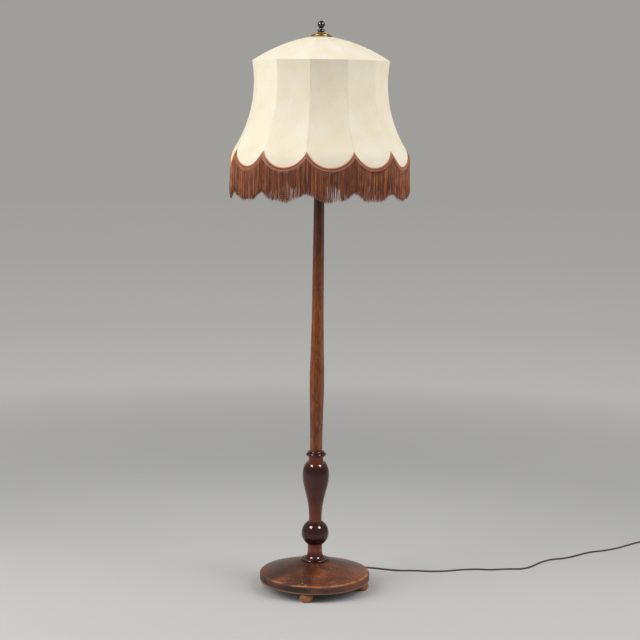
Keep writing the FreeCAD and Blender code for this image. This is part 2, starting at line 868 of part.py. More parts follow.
def scallop_wire():
    """The bottom wire, bent down in an arc between each pair of ribs."""
    inward = cloth + cloth_gap + ring_radius
    over = 1.02
    end_z = cusp_z + scallop_drop * (over ** 2 - 1)
    ends = [Vector(width_at(end_z) - inward, side * cusp_half_span * over, end_z) for side in (-1, 1)]
    middle = Vector(lobe_width - inward, 0, hem_z)
    path = Part.Wire(Part.Arc(ends[0], middle, ends[1]).toShape())
    return joined_round(pipe(path, ring_radius).common(wedge))


def hub():
    """The flat hub that the dome ribs are soldered to."""
    return ring(hub_radius, tube_radius + slip_gap, hub_z, hub_z + hub_thickness)


# ---------------------------------------------------------------- stem, rest, hat and finial

hat_z = hub_z + hub_thickness
stem_top = hat_z + hat_height - 0.6


def stem():
    return ring(tube_radius, stem_inner_radius, stem_bottom, stem_top)


def shade_rest():
    """The turned collar that the hub sits on."""
    low = hub_z - rest_height
    section = outline(
        (tube_radius + glue_gap, low),
        (7.5, low),
        ((8.5, low + rest_height * 0.5), (rest_radius, hub_z - 1.6)),
        (rest_radius, hub_z),
        (tube_radius + glue_gap, hub_z))
    return turned(section)


def top_hat():
    """The stepped brass cap over the crown of the cloth."""
    brim = crown_z + cloth_gap - hat_z
    section = outline(
        (tube_radius + slip_gap, 0),
        (hub_radius - 1, 0),
        (hub_radius - 1, brim),
        (hat_radius - 0.6, brim),
        ((hat_radius, brim + 0.8), (hat_radius - 1.0, brim + 1.8)),
        (28.8, brim + 2.4),
        ((27.0, brim + 4.6), (24.0, brim + 5.0)),
        ((23.4, brim + 6.6), (21.4, brim + 7.4)),
        ((14.6, brim + 8.6), (12.0, brim + 10.4)),
        (11.0, hat_height),
        (tube_radius + slip_gap, hat_height))
    return turned(section, z=hat_z)


def finial():
    """The dark turned knob whose stud screws into the stem and clamps the shade."""
    low = hat_z + hat_height
    ball = low + finial_height - finial_ball_radius
    ball_low = ball - math.sqrt(finial_ball_radius ** 2 - finial_neck_radius ** 2)
    stud = low - finial_stud_length
    section = outline(
        (0, stud),
        (finial_stud_radius, stud),
        (finial_stud_radius, low),
        (8.0, low),
        ((7.2, low + 0.7), (6.9, low + 1.7)),
        ((finial_ring_radius, low + 5.1), (6.9, low + 8.5)),
        ((5.7, low + 11.0), (finial_neck_radius, ball_low)),
        ((finial_ball_radius, ball), (0, ball + finial_ball_radius)))
    return turned(section)


# ---------------------------------------------------------------- flex, coil and plug

bush_tip = polar(base_radius + bush_outside, cord_exit_angle, lead_z)
straight_end = polar(base_radius + bush_outside + cord_straight, cord_exit_angle, lead_z)


def inner_lead():
    """The flex inside the lamp: in at the rim, under the nut and up the tie tube."""
    path = rounded_path([bush_tip, Vector(0, 0, lead_z), Vector(0, 0, tube_top + 1.5)],
                        [lead_bend])[0]
    return pipe(path, cord_radius)


# The loose run, point by point as it lies: off the bush, down to the floor and away to the right.
cord_points = [
    (bush_tip.x, bush_tip.y, lead_z),
    (straight_end.x, straight_end.y, lead_z),
    (71.5, 193.5, 30.0),
    (81.5, 204.0, 19.5),
    (96.5, 209.5, 8.5),
    (116.0, 207.0, cord_z),
    (139.5, 200.0, cord_z),
    (171.5, 191.5, cord_z),
    (206.0, 181.0, cord_z),
    (254.0, 165.0, cord_z),
    (303.0, 168.5, cord_z),
    (352.0, 160.5, cord_z),
    (404.0, 167.0, cord_z),
    (452.0, 184.0, cord_z),
    (499.0, 191.5, cord_z),
    (545.0, 184.5, cord_z),
    (592.0, 198.0, cord_z),
    (637.0, 196.0, cord_z),
    (671.0, 222.0, cord_z),
    (701.0, 266.0, cord_z),
    (741.0, 305.0, cord_z),
    (790.0, 318.0, cord_z),
    (831.0, 350.0, cord_z),
    (877.0, 391.0, cord_z),
    (928.0, 409.0, cord_z),
    (975.0, 438.0, cord_z),
    (1021.0, 480.0, cord_z),
    (1056.0, 510.0, cord_z),
    (1081.0, 529.0, cord_z),
    (1101.0, coil_y - coil_outer_radius, cord_z),
    (coil_x - coil_lead_in, coil_y - coil_outer_radius, cord_z)]


def cord_run():
    """The loose cord as straight runs and the largest arcs that fit them."""
    path, radii = rounded_path([Vector(*place) for place in cord_points])
    solid = pipe(path, cord_radius)
    section = math.pi * cord_radius ** 2
    print("cord run: length", round(path.Length, 1), "arc radii", [round(r) for r in radii])
    print("cord run: volume", round(solid.Volume), "section x length", round(section * path.Length))
    return solid, path.Length


def biarc(start, start_way, end, end_way):
    """Two arcs from a point and direction to another, tangent where they meet."""
    gap = end - start
    ways = start_way + end_way
    square = 2 * (1 - start_way.dot(end_way))
    along = gap.dot(ways)
    reach = (-along + math.sqrt(along ** 2 + square * gap.dot(gap))) / square
    corner_a = start + start_way * reach
    corner_b = end - end_way * reach
    joint = (corner_a + corner_b) * 0.5
    edges = []
    for first, corner, last in ((start, corner_a, joint), (joint, corner_b, end)):
        chord = (first + last) * 0.5
        half_turn = math.acos(min(1.0, (chord - first).Length / reach))
        depth = (corner - chord).Length
        bend = reach / math.tan(half_turn)
        away = bend / math.cos(half_turn) - bend
        middle = corner + (chord - corner) * (away / depth)
        edges.append(Part.Arc(first, middle, last).toShape())
    return edges


def coil_steps():
    """Distances from the coil's centre at the end of each half turn, low layer then high."""
    half = coil_pitch / 2
    low = [coil_outer_radius - half * k for k in range(2 * coil_turns_low + 1)]
    climb_end = low[-1] - half
    high = [climb_end + coil_pitch + half * k for k in range(coil_half_turns_high)]
    return low, climb_end, high


def cord_coil():
    """The put-away length: three turns in, a climb of one layer, and turns out again on top."""
    low, climb_end, high = coil_steps()
    edges = []
    side = -1

    def place(reach, sign, z):
        return Vector(coil_x, coil_y + sign * reach, z)

    start = place(low[0], side, cord_z)
    edges.append(Part.LineSegment(start - Vector(coil_lead_in, 0, 0), start).toShape())
    for here, there in zip(low, low[1:]):
        a = place(here, side, cord_z)
        b = place(there, -side, cord_z)
        out = -side * (here + there) / 2
        middle = Vector(coil_x + out, (a.y + b.y) / 2, cord_z)
        edges.append(Part.Arc(a, middle, b).toShape())
        side = -side
    # the climb: half a turn from the low layer to the high one, in two quarter turns
    a = place(low[-1], side, cord_z)
    b = place(climb_end, -side, plug_z)
    out = -side * (low[-1] + climb_end) / 2
    crest = Vector(coil_x + out, (a.y + b.y) / 2, (cord_z + plug_z) / 2)
    along = Vector(-side, 0, 0)
    slope = math.atan(1.5 * coil_pitch / (math.pi * low[-1]))
    rising = Vector(0, -side * math.cos(slope), math.sin(slope))
    edges += biarc(a, along, crest, rising)
    edges += biarc(crest, rising, b, along * -1)
    side = -side
    reaches = [climb_end] + high
    for here, there in zip(reaches, reaches[1:]):
        a = place(here, side, plug_z)
        b = place(there, -side, plug_z)
        out = -side * (here + there) / 2
        middle = Vector(coil_x + out, (a.y + b.y) / 2, plug_z)
        edges.append(Part.Arc(a, middle, b).toShape())
        side = -side
    last = place(reaches[-1], side, plug_z)
    end = last + Vector(-side * coil_tail, 0, 0)
    edges.append(Part.LineSegment(last, end).toShape())
    path = Part.Wire(edges)
    solid = pipe(path, cord_radius)
    points = path.discretize(Distance=2.0)
    window = int(6 * cord_radius / 2.0) + 6
    least = min((p - q).Length for i, p in enumerate(points) for q in points[i + window:])
    print("cord coil: length", round(path.Length, 1), "least gap to itself",
          round(least - 2 * cord_radius, 2))
    print("cord coil: volume", round(solid.Volume), "section x length",
          round(math.pi * cord_radius ** 2 * path.Length))
    return solid, end, path.Length


def plug_body(start):
    """A flat round-backed two-pin plug with a tapered sleeve where the cord goes in."""
    half_width = plug_width / 2
    back = start.x + relief_length
    front = back + plug_length
    bottom = start.z - plug_z
    thickness = 2 * plug_z
    corner = 5.0
    waist = 9.0

    def at(x, y):
        return Vector(x, start.y + y, bottom)

    edges = [Part.LineSegment(at(front, -half_width + corner), at(front, half_width - corner)),
             Part.Arc(at(front, half_width - corner), at(front - 1.5, half_width - 1.5),
                      at(front - corner, half_width)),
             Part.Arc(at(front - corner, half_width), at(back + 10, half_width - 1.0),
                      at(back, waist)),
             Part.LineSegment(at(back, waist), at(back, -waist)),
             Part.Arc(at(back, -waist), at(back + 10, -half_width + 1.0),
                      at(front - corner, -half_width)),
             Part.Arc(at(front - corner, -half_width), at(front - 1.5, -half_width + 1.5),
                      at(front, -half_width + corner))]
    plan = Part.Face(Part.Wire([edge.toShape() for edge in edges]))
    body = plan.extrude(Vector(0, 0, thickness))
    flat_edges = [edge for edge in body.Edges
                  if abs(edge.BoundBox.ZMax - edge.BoundBox.ZMin) < 0.001]
    body = body.makeFillet(1.8, flat_edges)
    sleeve = Part.makeCone(bush_tip_radius, relief_root_radius, relief_length + 3, start,
                           Vector(1, 0, 0))
    body = body.fuse(sleeve)
    for side in (-1, 1):
        hole = Part.makeCylinder(pin_radius + glue_gap, pin_root + 5,
                                 Vector(front - pin_root, start.y + side * pin_spacing / 2, start.z),
                                 Vector(1, 0, 0))
        body = body.cut(hole)
    return body, front


def plug_pins(start, front):
    pins = []
    for side in (-1, 1):
        foot_x = front - pin_root + glue_gap
        whole = pin_length + pin_root - glue_gap
        y = start.y + side * pin_spacing / 2
        pin = Part.makeCylinder(pin_radius, whole, Vector(foot_x, y, start.z), Vector(1, 0, 0))
        tip = max(pin.Edges, key=lambda edge: edge.BoundBox.XMin)
        pins.append(pin.makeFillet(0.8, [tip]))
    return Part.Compound(pins)


# ---------------------------------------------------------------- build every piece

save("base_disc", base_disc())
for number in range(foot_count):
    piece = foot()
    piece.translate(foot_place(number))
    save("foot_" + str(number + 1), piece)
screws = []
for number in range(foot_count):
    piece = foot_screw()
    piece.translate(foot_place(number))
    screws.append(piece)
save("foot_screws", Part.Compound(screws))
save("cord_bush", cord_bush())
save("base_washer", base_washer())
save("base_nut", base_nut())
save("tie_tube", tie_tube())
save("lower_column", lower_column())
save("upper_column", upper_column())
save("column_cap", column_cap())
save("cluster_body", cluster_body())

pair = {"arm": arm, "arm_wire": arm_wire, "holder_dish": holder_dish, "holder_shell": holder_shell,
        "holder_core": holder_core, "switch_key": switch_key, "bulb_cap": bulb_cap,
        "bulb_glass": bulb_glass}
for name, make in pair.items():
    piece = make()
    save(name + "_right", piece)
    piece.rotate(Vector(0, 0, 0), axis_up, 180)
    save(name + "_left", piece)

save("stem", stem())
save("shade_rest", shade_rest())
save("shade_hub", hub())
save("shade_ribs", ribs())
save("shoulder_ring", shoulder_ring())
save("scallop_wire", scallop_wire())
panel = side_panel()
for number in range(panel_count):
    save("side_panel_%02d" % (number + 1), to_panel(panel, number))
gore = dome_gore()
save("dome_gores", Part.Compound([to_panel(gore, number) for number in range(panel_count)]))
braid = braid_arc()
save("braid", Part.Compound([to_panel(braid, number) for number in range(panel_count)]))
curtain = fringe_curtain()
save("fringe", Part.Compound([to_panel(curtain, number) for number in range(panel_count)]))
save("top_hat", top_hat())
save("finial", finial())

save("inner_lead", inner_lead())
run, run_length = cord_run()
save("cord_run", run)
coil, coil_end, coil_length = cord_coil()
save("cord_coil", coil)
body, plug_front = plug_body(coil_end)
save("plug_body", body)
save("plug_pins", plug_pins(coil_end, plug_front))
print("whole cord", round(run_length + coil_length), "mm; top of the finial at",
      round(hat_z + hat_height + finial_height, 2))
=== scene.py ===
# %% [markdown]
# # A candlestick floor lamp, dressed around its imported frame
#
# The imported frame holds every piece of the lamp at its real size. This script gives the pieces
# their finish, and makes anew what a plain solid can't show: silk stretched on wires, a woven
# braid, a fringe of hanging threads, the planed shaft and the flex.
# Everything is in metres. The floor is at z = 0, the front is -Y, and plan angles are counted
# from the front towards +X.

# %% Load the frame
import json
import math

import bmesh
import bpy
import numpy as np
from mathutils import Matrix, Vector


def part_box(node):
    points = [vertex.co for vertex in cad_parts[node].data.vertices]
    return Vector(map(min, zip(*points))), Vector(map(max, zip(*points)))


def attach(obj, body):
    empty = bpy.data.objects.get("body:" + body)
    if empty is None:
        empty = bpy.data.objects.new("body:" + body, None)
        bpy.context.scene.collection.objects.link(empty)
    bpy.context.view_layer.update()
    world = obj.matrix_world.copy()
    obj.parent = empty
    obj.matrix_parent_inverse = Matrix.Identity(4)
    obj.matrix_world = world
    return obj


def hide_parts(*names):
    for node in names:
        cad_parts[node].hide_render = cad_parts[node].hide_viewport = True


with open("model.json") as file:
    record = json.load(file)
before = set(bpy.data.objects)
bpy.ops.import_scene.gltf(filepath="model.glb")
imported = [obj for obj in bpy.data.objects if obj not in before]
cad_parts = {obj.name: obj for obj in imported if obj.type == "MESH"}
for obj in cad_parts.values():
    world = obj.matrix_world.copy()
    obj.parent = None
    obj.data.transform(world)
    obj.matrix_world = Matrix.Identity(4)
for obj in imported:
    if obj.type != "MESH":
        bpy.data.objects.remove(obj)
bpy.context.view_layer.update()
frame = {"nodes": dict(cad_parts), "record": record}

nodes = frame["nodes"]
mm = 0.001
print("frame nodes:", len(nodes))

# %% [markdown]
# ## Helpers for materials
#
# Colours are written as the sRGB hex values that a colour picker shows, and shaders want linear
# light, so one function turns the first into the second. A second function adds a node, sets it
# and links it, which keeps each material to a short list of what the real finish is made of.
# Two patterns come back in many finishes and have a helper each: streaks that run one way, and
# tints that darken a colour in patches.

# %% Colour and node helpers
def linear(code):
    """An sRGB hex value as linear RGBA: the low part divided by 12.92, the rest raised to 2.4."""
    channels = np.array([int(code[i:i + 2], 16) for i in (1, 3, 5)]) / 255
    curved = ((channels + 0.055) / 1.055) ** 2.4
    return (*np.where(channels <= 0.04045, channels / 12.92, curved), 1.0)


def add(tree, kind, inputs=None, stops=None, **settings):
    """Add one node. Settings are its properties, and an input is a value or a socket to link."""
    node = tree.nodes.new(kind)
    for name, value in settings.items():
        setattr(node, name, value)
    for number, (position, code) in enumerate(stops or []):
        elements = node.color_ramp.elements
        element = elements[number] if number < 2 else elements.new(position)
        element.position = position
        element.color = linear(code)
    for name, value in (inputs or {}).items():
        if isinstance(value, bpy.types.NodeSocket):
            tree.links.new(value, node.inputs[name])
        else:
            node.inputs[name].default_value = value
    return node


def blank(name):
    """A new material whose node tree is empty."""
    material = bpy.data.materials.new(name)
    material.use_nodes = True
    material.node_tree.nodes.clear()
    return material, material.node_tree


def finish(material, inputs):
    """Put a Principled shader with these inputs on the material's output."""
    tree = material.node_tree
    shader = add(tree, "ShaderNodeBsdfPrincipled", inputs)
    add(tree, "ShaderNodeOutputMaterial", {"Surface": shader.outputs["BSDF"]})
    return material


def streaks(tree, place, scale, turn=0.0, **inputs):
    """Noise drawn out along one direction, as grain, slubs and fibres are: the place is scaled
    unevenly, and a noise of scale 1 reads the result."""
    drawn = add(tree, "ShaderNodeMapping", {"Vector": place, "Scale": scale, "Rotation": (0, 0, turn)})
    noise = {"Vector": drawn.outputs["Vector"], "Scale": 1.0, **inputs}
    return add(tree, "ShaderNodeTexNoise", noise).outputs["Fac"]


def tinted(tree, share, colour, pattern, stops):
    """A colour multiplied, by a share, with the tints that a ramp reads from a pattern."""
    tint = add(tree, "ShaderNodeValToRGB", {"Fac": pattern}, stops)
    return add(tree, "ShaderNodeMix", {0: share, 6: colour, 7: tint.outputs["Color"]},
               data_type="RGBA", blend_type="MULTIPLY").outputs[2]


# %% [markdown]
# ## The camera
#
# The camera stands 4.5 m in front of the lamp with a long lens, a little above the middle, looks
# slightly down and is rolled by under a degree, as when a tripod is not quite level. The numbers
# come from fitting the rim, the feet, the shoulder and the hem to the picture.

# %% Camera
frame_width = 640                       # pixels across the square picture
focal_pixels = 1574.3
sensor = 36.0
camera_place = (0.0067, -4.5067, 1.4262)
camera_pitch = math.radians(7.940)
camera_roll = math.radians(0.704)

lens = bpy.data.cameras.new("camera")
lens.sensor_width = sensor
lens.lens = focal_pixels / frame_width * sensor
camera = bpy.data.objects.new("camera", lens)
upright = Matrix.Rotation(math.pi / 2 - camera_pitch, 4, "X") @ Matrix.Rotation(camera_roll, 4, "Z")
camera.matrix_world = Matrix.Translation(camera_place) @ upright
bpy.context.scene.collection.objects.link(camera)
bpy.context.scene.camera = camera
print("lens", round(lens.lens, 2), "mm")

# %% [markdown]
# ## Surfaces from arrays
#
# Every new piece is a grid of points worked out as whole arrays. One function turns a grid into a
# mesh with a UV map in metres or turns, and another makes many tubes at once, which is what
# threads, cords and seams are.

# %% Grids and tubes
def fill_mesh(name, points, faces, uv, values=None):
    """A smooth mesh from points, quads, one UV pair per face corner and a value per point."""
    mesh = bpy.data.meshes.new(name)
    mesh.vertices.add(len(points))
    mesh.vertices.foreach_set("co", np.ascontiguousarray(points, np.float32).ravel())
    mesh.loops.add(faces.size)
    mesh.loops.foreach_set("vertex_index", faces.astype(np.int32).ravel())
    mesh.polygons.add(len(faces))
    mesh.polygons.foreach_set("loop_start", np.arange(0, faces.size, 4, dtype=np.int32))
    layer = mesh.uv_layers.new(name="UVMap")
    layer.data.foreach_set("uv", np.ascontiguousarray(uv, np.float32).ravel())
    if values is not None:
        tone = mesh.attributes.new("tone", "FLOAT", "POINT")
        tone.data.foreach_set("value", np.ascontiguousarray(values, np.float32).ravel())
    mesh.update(calc_edges=True)
    mesh.shade_smooth()
    return mesh


def corners_of(index):
    """The four corners of each cell of an index grid, as an array of quads."""
    cells = (index[:-1, :-1], index[:-1, 1:], index[1:, 1:], index[1:, :-1])
    return np.stack(cells, axis=-1).reshape(-1, 4)


def grid_mesh(name, points, uv, around=False):
    """A mesh over a grid: rows by columns by 3, joined round its columns if asked."""
    rows, columns = points.shape[:2]
    index = np.arange(rows * columns).reshape(rows, columns)
    if around:
        index = np.hstack([index, index[:, :1]])
    marks = np.arange(uv.shape[0] * uv.shape[1]).reshape(uv.shape[:2])
    corner_uv = uv.reshape(-1, 2)[corners_of(marks)]
    return fill_mesh(name, points.reshape(-1, 3), corners_of(index), corner_uv)


def tube_mesh(name, centres, across, outward, radius, sides, twist=0.0, tones=None):
    """Many tubes at once. Each point is centre + radius * (cos a * across + sin a * outward),
    where a goes once round the tube and turns by twist along it. Ends of four-sided tubes are closed
    by one face."""
    tubes, rings = centres.shape[:2]
    steps = np.linalg.norm(np.diff(centres, axis=1), axis=2)
    along = np.hstack([np.zeros((tubes, 1)), np.cumsum(steps, axis=1)])
    angle = np.arange(sides) / sides * 2 * np.pi + along[..., None] * twist
    radius = np.broadcast_to(radius, (tubes, rings))[..., None, None]
    circle = np.cos(angle)[..., None] * across[:, :, None] + np.sin(angle)[..., None] * outward[:, :, None]
    points = centres[:, :, None] + radius * circle
    index = np.arange(tubes * rings * sides).reshape(tubes, rings, sides)
    ahead = np.roll(index, -1, axis=2)
    quads = np.stack([index[:, :-1], ahead[:, :-1], ahead[:, 1:], index[:, 1:]], axis=-1)
    share = np.arange(sides) / sides
    u = np.stack([share, share + 1 / sides, share + 1 / sides, share], axis=-1)
    v = np.stack([along[:, :-1], along[:, :-1], along[:, 1:], along[:, 1:]], axis=-1)
    corner_uv = np.stack(np.broadcast_arrays(u[None, None], v[:, :, None]), axis=-1)
    faces = quads.reshape(-1, 4)
    corner_uv = corner_uv.reshape(-1, 4, 2)
    if sides == 4:
        caps = np.concatenate([index[:, 0, ::-1], index[:, -1]])
        faces = np.concatenate([faces, caps])
        corner_uv = np.concatenate([corner_uv, np.zeros((len(caps), 4, 2))])
    values = None if tones is None else np.repeat(tones, rings * sides)
    return fill_mesh(name, points.reshape(-1, 3), faces, corner_uv, values)


def show(name, mesh, material, body, replaced=()):
    """Put a finished mesh in the scene as a piece that rides on a body."""
    thing = bpy.data.objects.new(name, mesh)
    bpy.context.scene.collection.objects.link(thing)
    mesh.materials.append(material)
    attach(thing, body)
    if replaced:
        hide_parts(*replaced)
    print(name, "quads:", len(mesh.polygons))
    return thing


# %% [markdown]
# ## The flex
#
# A round two-core flex leaves the tapered bush at the back of the rim, drops to the floor and
# runs away to the right in loose, uneven bends. The length that nobody sees is wound into a flat
# coil beyond the picture, with the plug beside it. One smooth spline carries all of it: the route
# is a list of given places, and the coil's turns come from a formula, because a wound
# coil is regular and a dropped cord is not.

# %% Finish: brown moulded flex
def moulded_flex():
    """Brown PVC drawn over two cores: an even, slightly waxy skin with dust in its pores."""
    material, tree = blank("flex, brown PVC")
    place = add(tree, "ShaderNodeTexCoord").outputs["Object"]
    dust = add(tree, "ShaderNodeTexNoise", {"Vector": place, "Scale": 90.0, "Detail": 4.0}).outputs["Fac"]
    colour = add(tree, "ShaderNodeValToRGB", {"Fac": dust}, [(0.30, "#3A1F19"), (0.72, "#5C3A31")])
    bump = add(tree, "ShaderNodeBump", {"Height": dust, "Strength": 0.15, "Distance": 0.2 * mm})
    return finish(material, {"Base Color": colour.outputs["Color"], "Normal": bump.outputs["Normal"],
                             "Roughness": 0.42, "IOR": 1.52})


flex_finish = moulded_flex()

# %% The flex: route, coil and spline
cord_radius = 2.5 * mm
rim_radius = 161.5 * mm
lead_z = 35 * mm
bush_length = 18 * mm
cord_straight = 12 * mm
exit_angle = math.radians(160)
exit_way = np.array([math.sin(exit_angle), -math.cos(exit_angle)])
bush_tip = (*(exit_way * (rim_radius + bush_length)), lead_z)
straight_end = (*(exit_way * (rim_radius + bush_length + cord_straight)), lead_z)

loose_route = np.array([
    (71.5, 193.5, 30.0), (81.5, 204.0, 19.5), (96.5, 209.5, 8.5), (116.0, 207.0, 2.5),
    (139.5, 200.0, 2.5), (171.5, 191.5, 2.5),
    (206.0, 181.0, 2.5), (254.0, 165.0, 2.5), (303.0, 168.5, 2.5), (352.0, 160.5, 2.5),
    (404.0, 167.0, 2.5), (452.0, 184.0, 2.5), (499.0, 191.5, 2.5), (545.0, 184.5, 2.5),
    (592.0, 198.0, 2.5), (637.0, 196.0, 2.5), (671.0, 222.0, 2.5), (701.0, 266.0, 2.5),
    (741.0, 305.0, 2.5), (790.0, 318.0, 2.5), (831.0, 350.0, 2.5), (877.0, 391.0, 2.5),
    (928.0, 409.0, 2.5), (975.0, 438.0, 2.5), (1021.0, 480.0, 2.5), (1056.0, 510.0, 2.5),
    (1081.0, 529.0, 2.5), (1101.0, 537.0, 2.5), (1121.0, 537.0, 2.5)]) * mm

coil_centre = np.array([1126.0, 575.25]) * mm
coil_radius = 38.25 * mm
coil_pitch = 5.5 * mm
low_half_turns = 6
high_half_turns = 5
points_per_half_turn = 8
coil_tail = 24 * mm


def coil_points():
    """Turns in on the floor, a climb of one layer in half a turn, and turns out again on top.
    The radius goes from one half turn's value to the next along half a cosine wave."""
    low = coil_radius - coil_pitch / 2 * np.arange(low_half_turns + 1)
    inmost = low[-1] - coil_pitch / 2
    high = inmost + coil_pitch + coil_pitch / 2 * np.arange(high_half_turns)
    marks = np.concatenate([low, [inmost], high])
    levels = cord_radius + coil_pitch * np.repeat([0, 1], [len(low), 1 + len(high)])
    steps = np.arange((len(marks) - 1) * points_per_half_turn + 1) / points_per_half_turn
    before = np.minimum(steps.astype(int), len(marks) - 2)
    blend = (1 - np.cos(np.pi * (steps - before))) / 2
    radius = marks[before] + (marks[before + 1] - marks[before]) * blend
    height = levels[before] + (levels[before + 1] - levels[before]) * blend
    # a spline of order 3 runs inside its points, by the cosine of half a step
    radius = radius / math.cos(math.pi / points_per_half_turn / 2)
    angle = steps * np.pi
    return np.stack([coil_centre[0] + radius * np.sin(angle),
                     coil_centre[1] - radius * np.cos(angle), height], axis=-1)


def flex_spline():
    """The whole flex as one NURBS curve through its route, its coil and its tail."""
    wound = coil_points()
    tail = np.array([wound[-1][0], coil_centre[1] - (coil_radius - coil_pitch / 2), wound[-1][2]])
    route = [bush_tip, straight_end, *loose_route, *wound[:-1],
             tail, tail + (coil_tail / 3, 0, 0), tail + (coil_tail, 0, 0)]
    curve = bpy.data.curves.new("flex", "CURVE")
    curve.dimensions = "3D"
    curve.bevel_depth = cord_radius
    curve.bevel_resolution = 4
    curve.use_fill_caps = True
    spline = curve.splines.new("NURBS")
    spline.points.add(len(route) - 1)
    spline.points.foreach_set("co", np.array([(*place, 1.0) for place in route]).ravel())
    spline.order_u = 3
    spline.use_endpoint_u = True
    spline.resolution_u = 8
    return curve


flex = bpy.data.objects.new("flex", flex_spline())
bpy.context.scene.collection.objects.link(flex)
flex.data.materials.append(flex_finish)
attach(flex, "stand")
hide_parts("cord_run", "cord_coil")

# %% [markdown]
# ## The shade's frame, as formulas
#
# Twelve ribs carry the silk. Seen from the side, a rib runs in a large arc from the shoulder to
# the waist and out to the hem, where a smaller arc turns it upright again. Between two ribs the
# silk is flat from left to right, because cloth under tension takes the shortest way. So a panel
# needs only its section, width against height, and the tangent of half a panel's angle.

# %% Shade sections
panels = 12
first_rib = -7.9                        # plan angle of the first rib in degrees
half_angle = math.pi / panels
spread = math.tan(half_angle)
crown_z = 1603.7 * mm
crown_width = 28.0 * mm
dome_middle = np.array([116.1, 1577.3]) * mm
shoulder_z = 1537.0 * mm
waist_z = 1477.0 * mm
waist_width = 184.5 * mm
side_arc = 355.0 * mm
flare = math.radians(31.5)
hem_z = 1240.5 * mm
scallop_drop = 39.5 * mm

shoulder_angle = math.asin((shoulder_z - waist_z) / side_arc)
shoulder_width = waist_width + side_arc * (1 - math.cos(shoulder_angle))
flare_start = np.array([waist_width + side_arc * (1 - math.cos(flare)),
                        waist_z - side_arc * math.sin(flare)])
lobe_arc = (flare_start[1] - hem_z) / math.sin(flare)
lobe_centre = flare_start[0] - lobe_arc * math.cos(flare)
cusp_z = hem_z + scallop_drop
cusp_width = lobe_centre + math.sqrt(lobe_arc ** 2 - scallop_drop ** 2)
cusp_span = cusp_width * spread
scallop_arc = (cusp_span ** 2 + scallop_drop ** 2) / (2 * scallop_drop)
scallop_z = hem_z + scallop_arc


def side_section(count=400):
    """The side from shoulder to hem as width and height, evenly spaced along its length: an arc
    about the waist's centre, then the smaller arc of the lobe."""
    large = np.linspace(shoulder_angle, -flare, count)
    small = np.linspace(flare, 0, count)[1:]
    width = np.concatenate([waist_width + side_arc * (1 - np.cos(large)),
                            lobe_centre + lobe_arc * np.cos(small)])
    height = np.concatenate([waist_z + side_arc * np.sin(large), hem_z + lobe_arc * np.sin(small)])
    length = np.concatenate([[0], np.cumsum(np.hypot(np.diff(width), np.diff(height)))])
    even = np.linspace(0, length[-1], count)
    return even, np.interp(even, length, width), np.interp(even, length, height)


def dome_section(count=400):
    """The dome from crown to shoulder: the circle through three known places."""
    a = np.array([crown_width, crown_z])
    b = dome_middle
    c = np.array([shoulder_width, shoulder_z])
    system = np.array([b - a, c - b])
    centre = np.linalg.solve(system, [(b @ b - a @ a) / 2, (c @ c - b @ b) / 2])
    radius = np.linalg.norm(a - centre)
    ends = [math.atan2(*(place - centre)) for place in (a, c)]
    lean = np.linspace(*ends, count)
    return radius * (lean - lean[0]), centre[0] + radius * np.sin(lean), centre[1] + radius * np.cos(lean)


def lobe_face(height):
    """Width of the silk at a height on the lobe. Below the hem it stays upright."""
    rise = np.maximum(height - hem_z, 0)
    return lobe_centre + np.sqrt(lobe_arc ** 2 - rise ** 2)


def panel_place(number, x, y, z):
    """Points of a panel that faces +X, turned to the panel's place."""
    turn = math.radians(first_rib + 360 / panels * (number + 0.5) - 90)
    return np.stack([x * math.cos(turn) - y * math.sin(turn),
                     x * math.sin(turn) + y * math.cos(turn),
                     z + 0 * x], axis=-1)


# %% [markdown]
# ## Silk
#
# The cloth is a cream slubbed silk, cut on the bias and pulled tight. Up close it shows fine
# threads of uneven thickness and faint folds that run slantwise where the pull is strongest.
# The folds are real waves in the mesh. The slubs are a noise stretched along the thread, read
# from the UV map so that it follows the cloth.

# %% Finish: cream slubbed silk
def slubbed_silk():
    """Woven silk, undyed and aged: matt, a soft sheen at grazing angles, slubs 1.2 mm apart.
    Real threads are 0.2 mm, too fine to show, so only the slubs are drawn."""
    material, tree = blank("silk, cream, slubbed")
    uv = add(tree, "ShaderNodeUVMap", uv_map="UVMap").outputs["UV"]
    slub_gap, slub_length = 1.2 * mm, 22 * mm
    slub = streaks(tree, uv, (1 / slub_gap, 1 / slub_length, 1.0), Detail=5.0, Roughness=0.6)
    cross = streaks(tree, uv, (1 / slub_length, 1 / slub_gap, 1.0), Scale=1.3, Detail=4.0)
    stain = add(tree, "ShaderNodeTexNoise", {"Vector": uv, "Scale": 14.0, "Detail": 3.0})
    woven = add(tree, "ShaderNodeMath", {0: slub, 1: cross}, operation="ADD")
    thread_colour = add(tree, "ShaderNodeValToRGB", {"Fac": slub},
                        [(0.30, "#F3E8CF"), (0.52, "#F8EED8"), (0.74, "#FCF6E6")])
    colour = tinted(tree, 0.6, thread_colour.outputs["Color"], stain.outputs["Fac"],
                    [(0.35, "#FFFFFF"), (0.75, "#F6EBD4")])
    bump = add(tree, "ShaderNodeBump", {"Height": woven.outputs["Value"], "Strength": 0.35,
                                        "Distance": 0.35 * mm})
    return finish(material, {"Base Color": colour, "Normal": bump.outputs["Normal"],
                             "Roughness": 0.78, "IOR": 1.45, "Sheen Weight": 0.12})


silk_finish = slubbed_silk()

# %% Silk side panels
silk_thickness = 0.6 * mm
belly = 1.2 * mm                        # how far tension draws a panel in between its ribs
fold_height = 0.26 * mm
fold_gap = 8 * mm
fold_swell = 70 * mm                    # a fold grows and fades over this length
steep, shallow = math.radians(24), math.radians(62)
fold_seed = 4


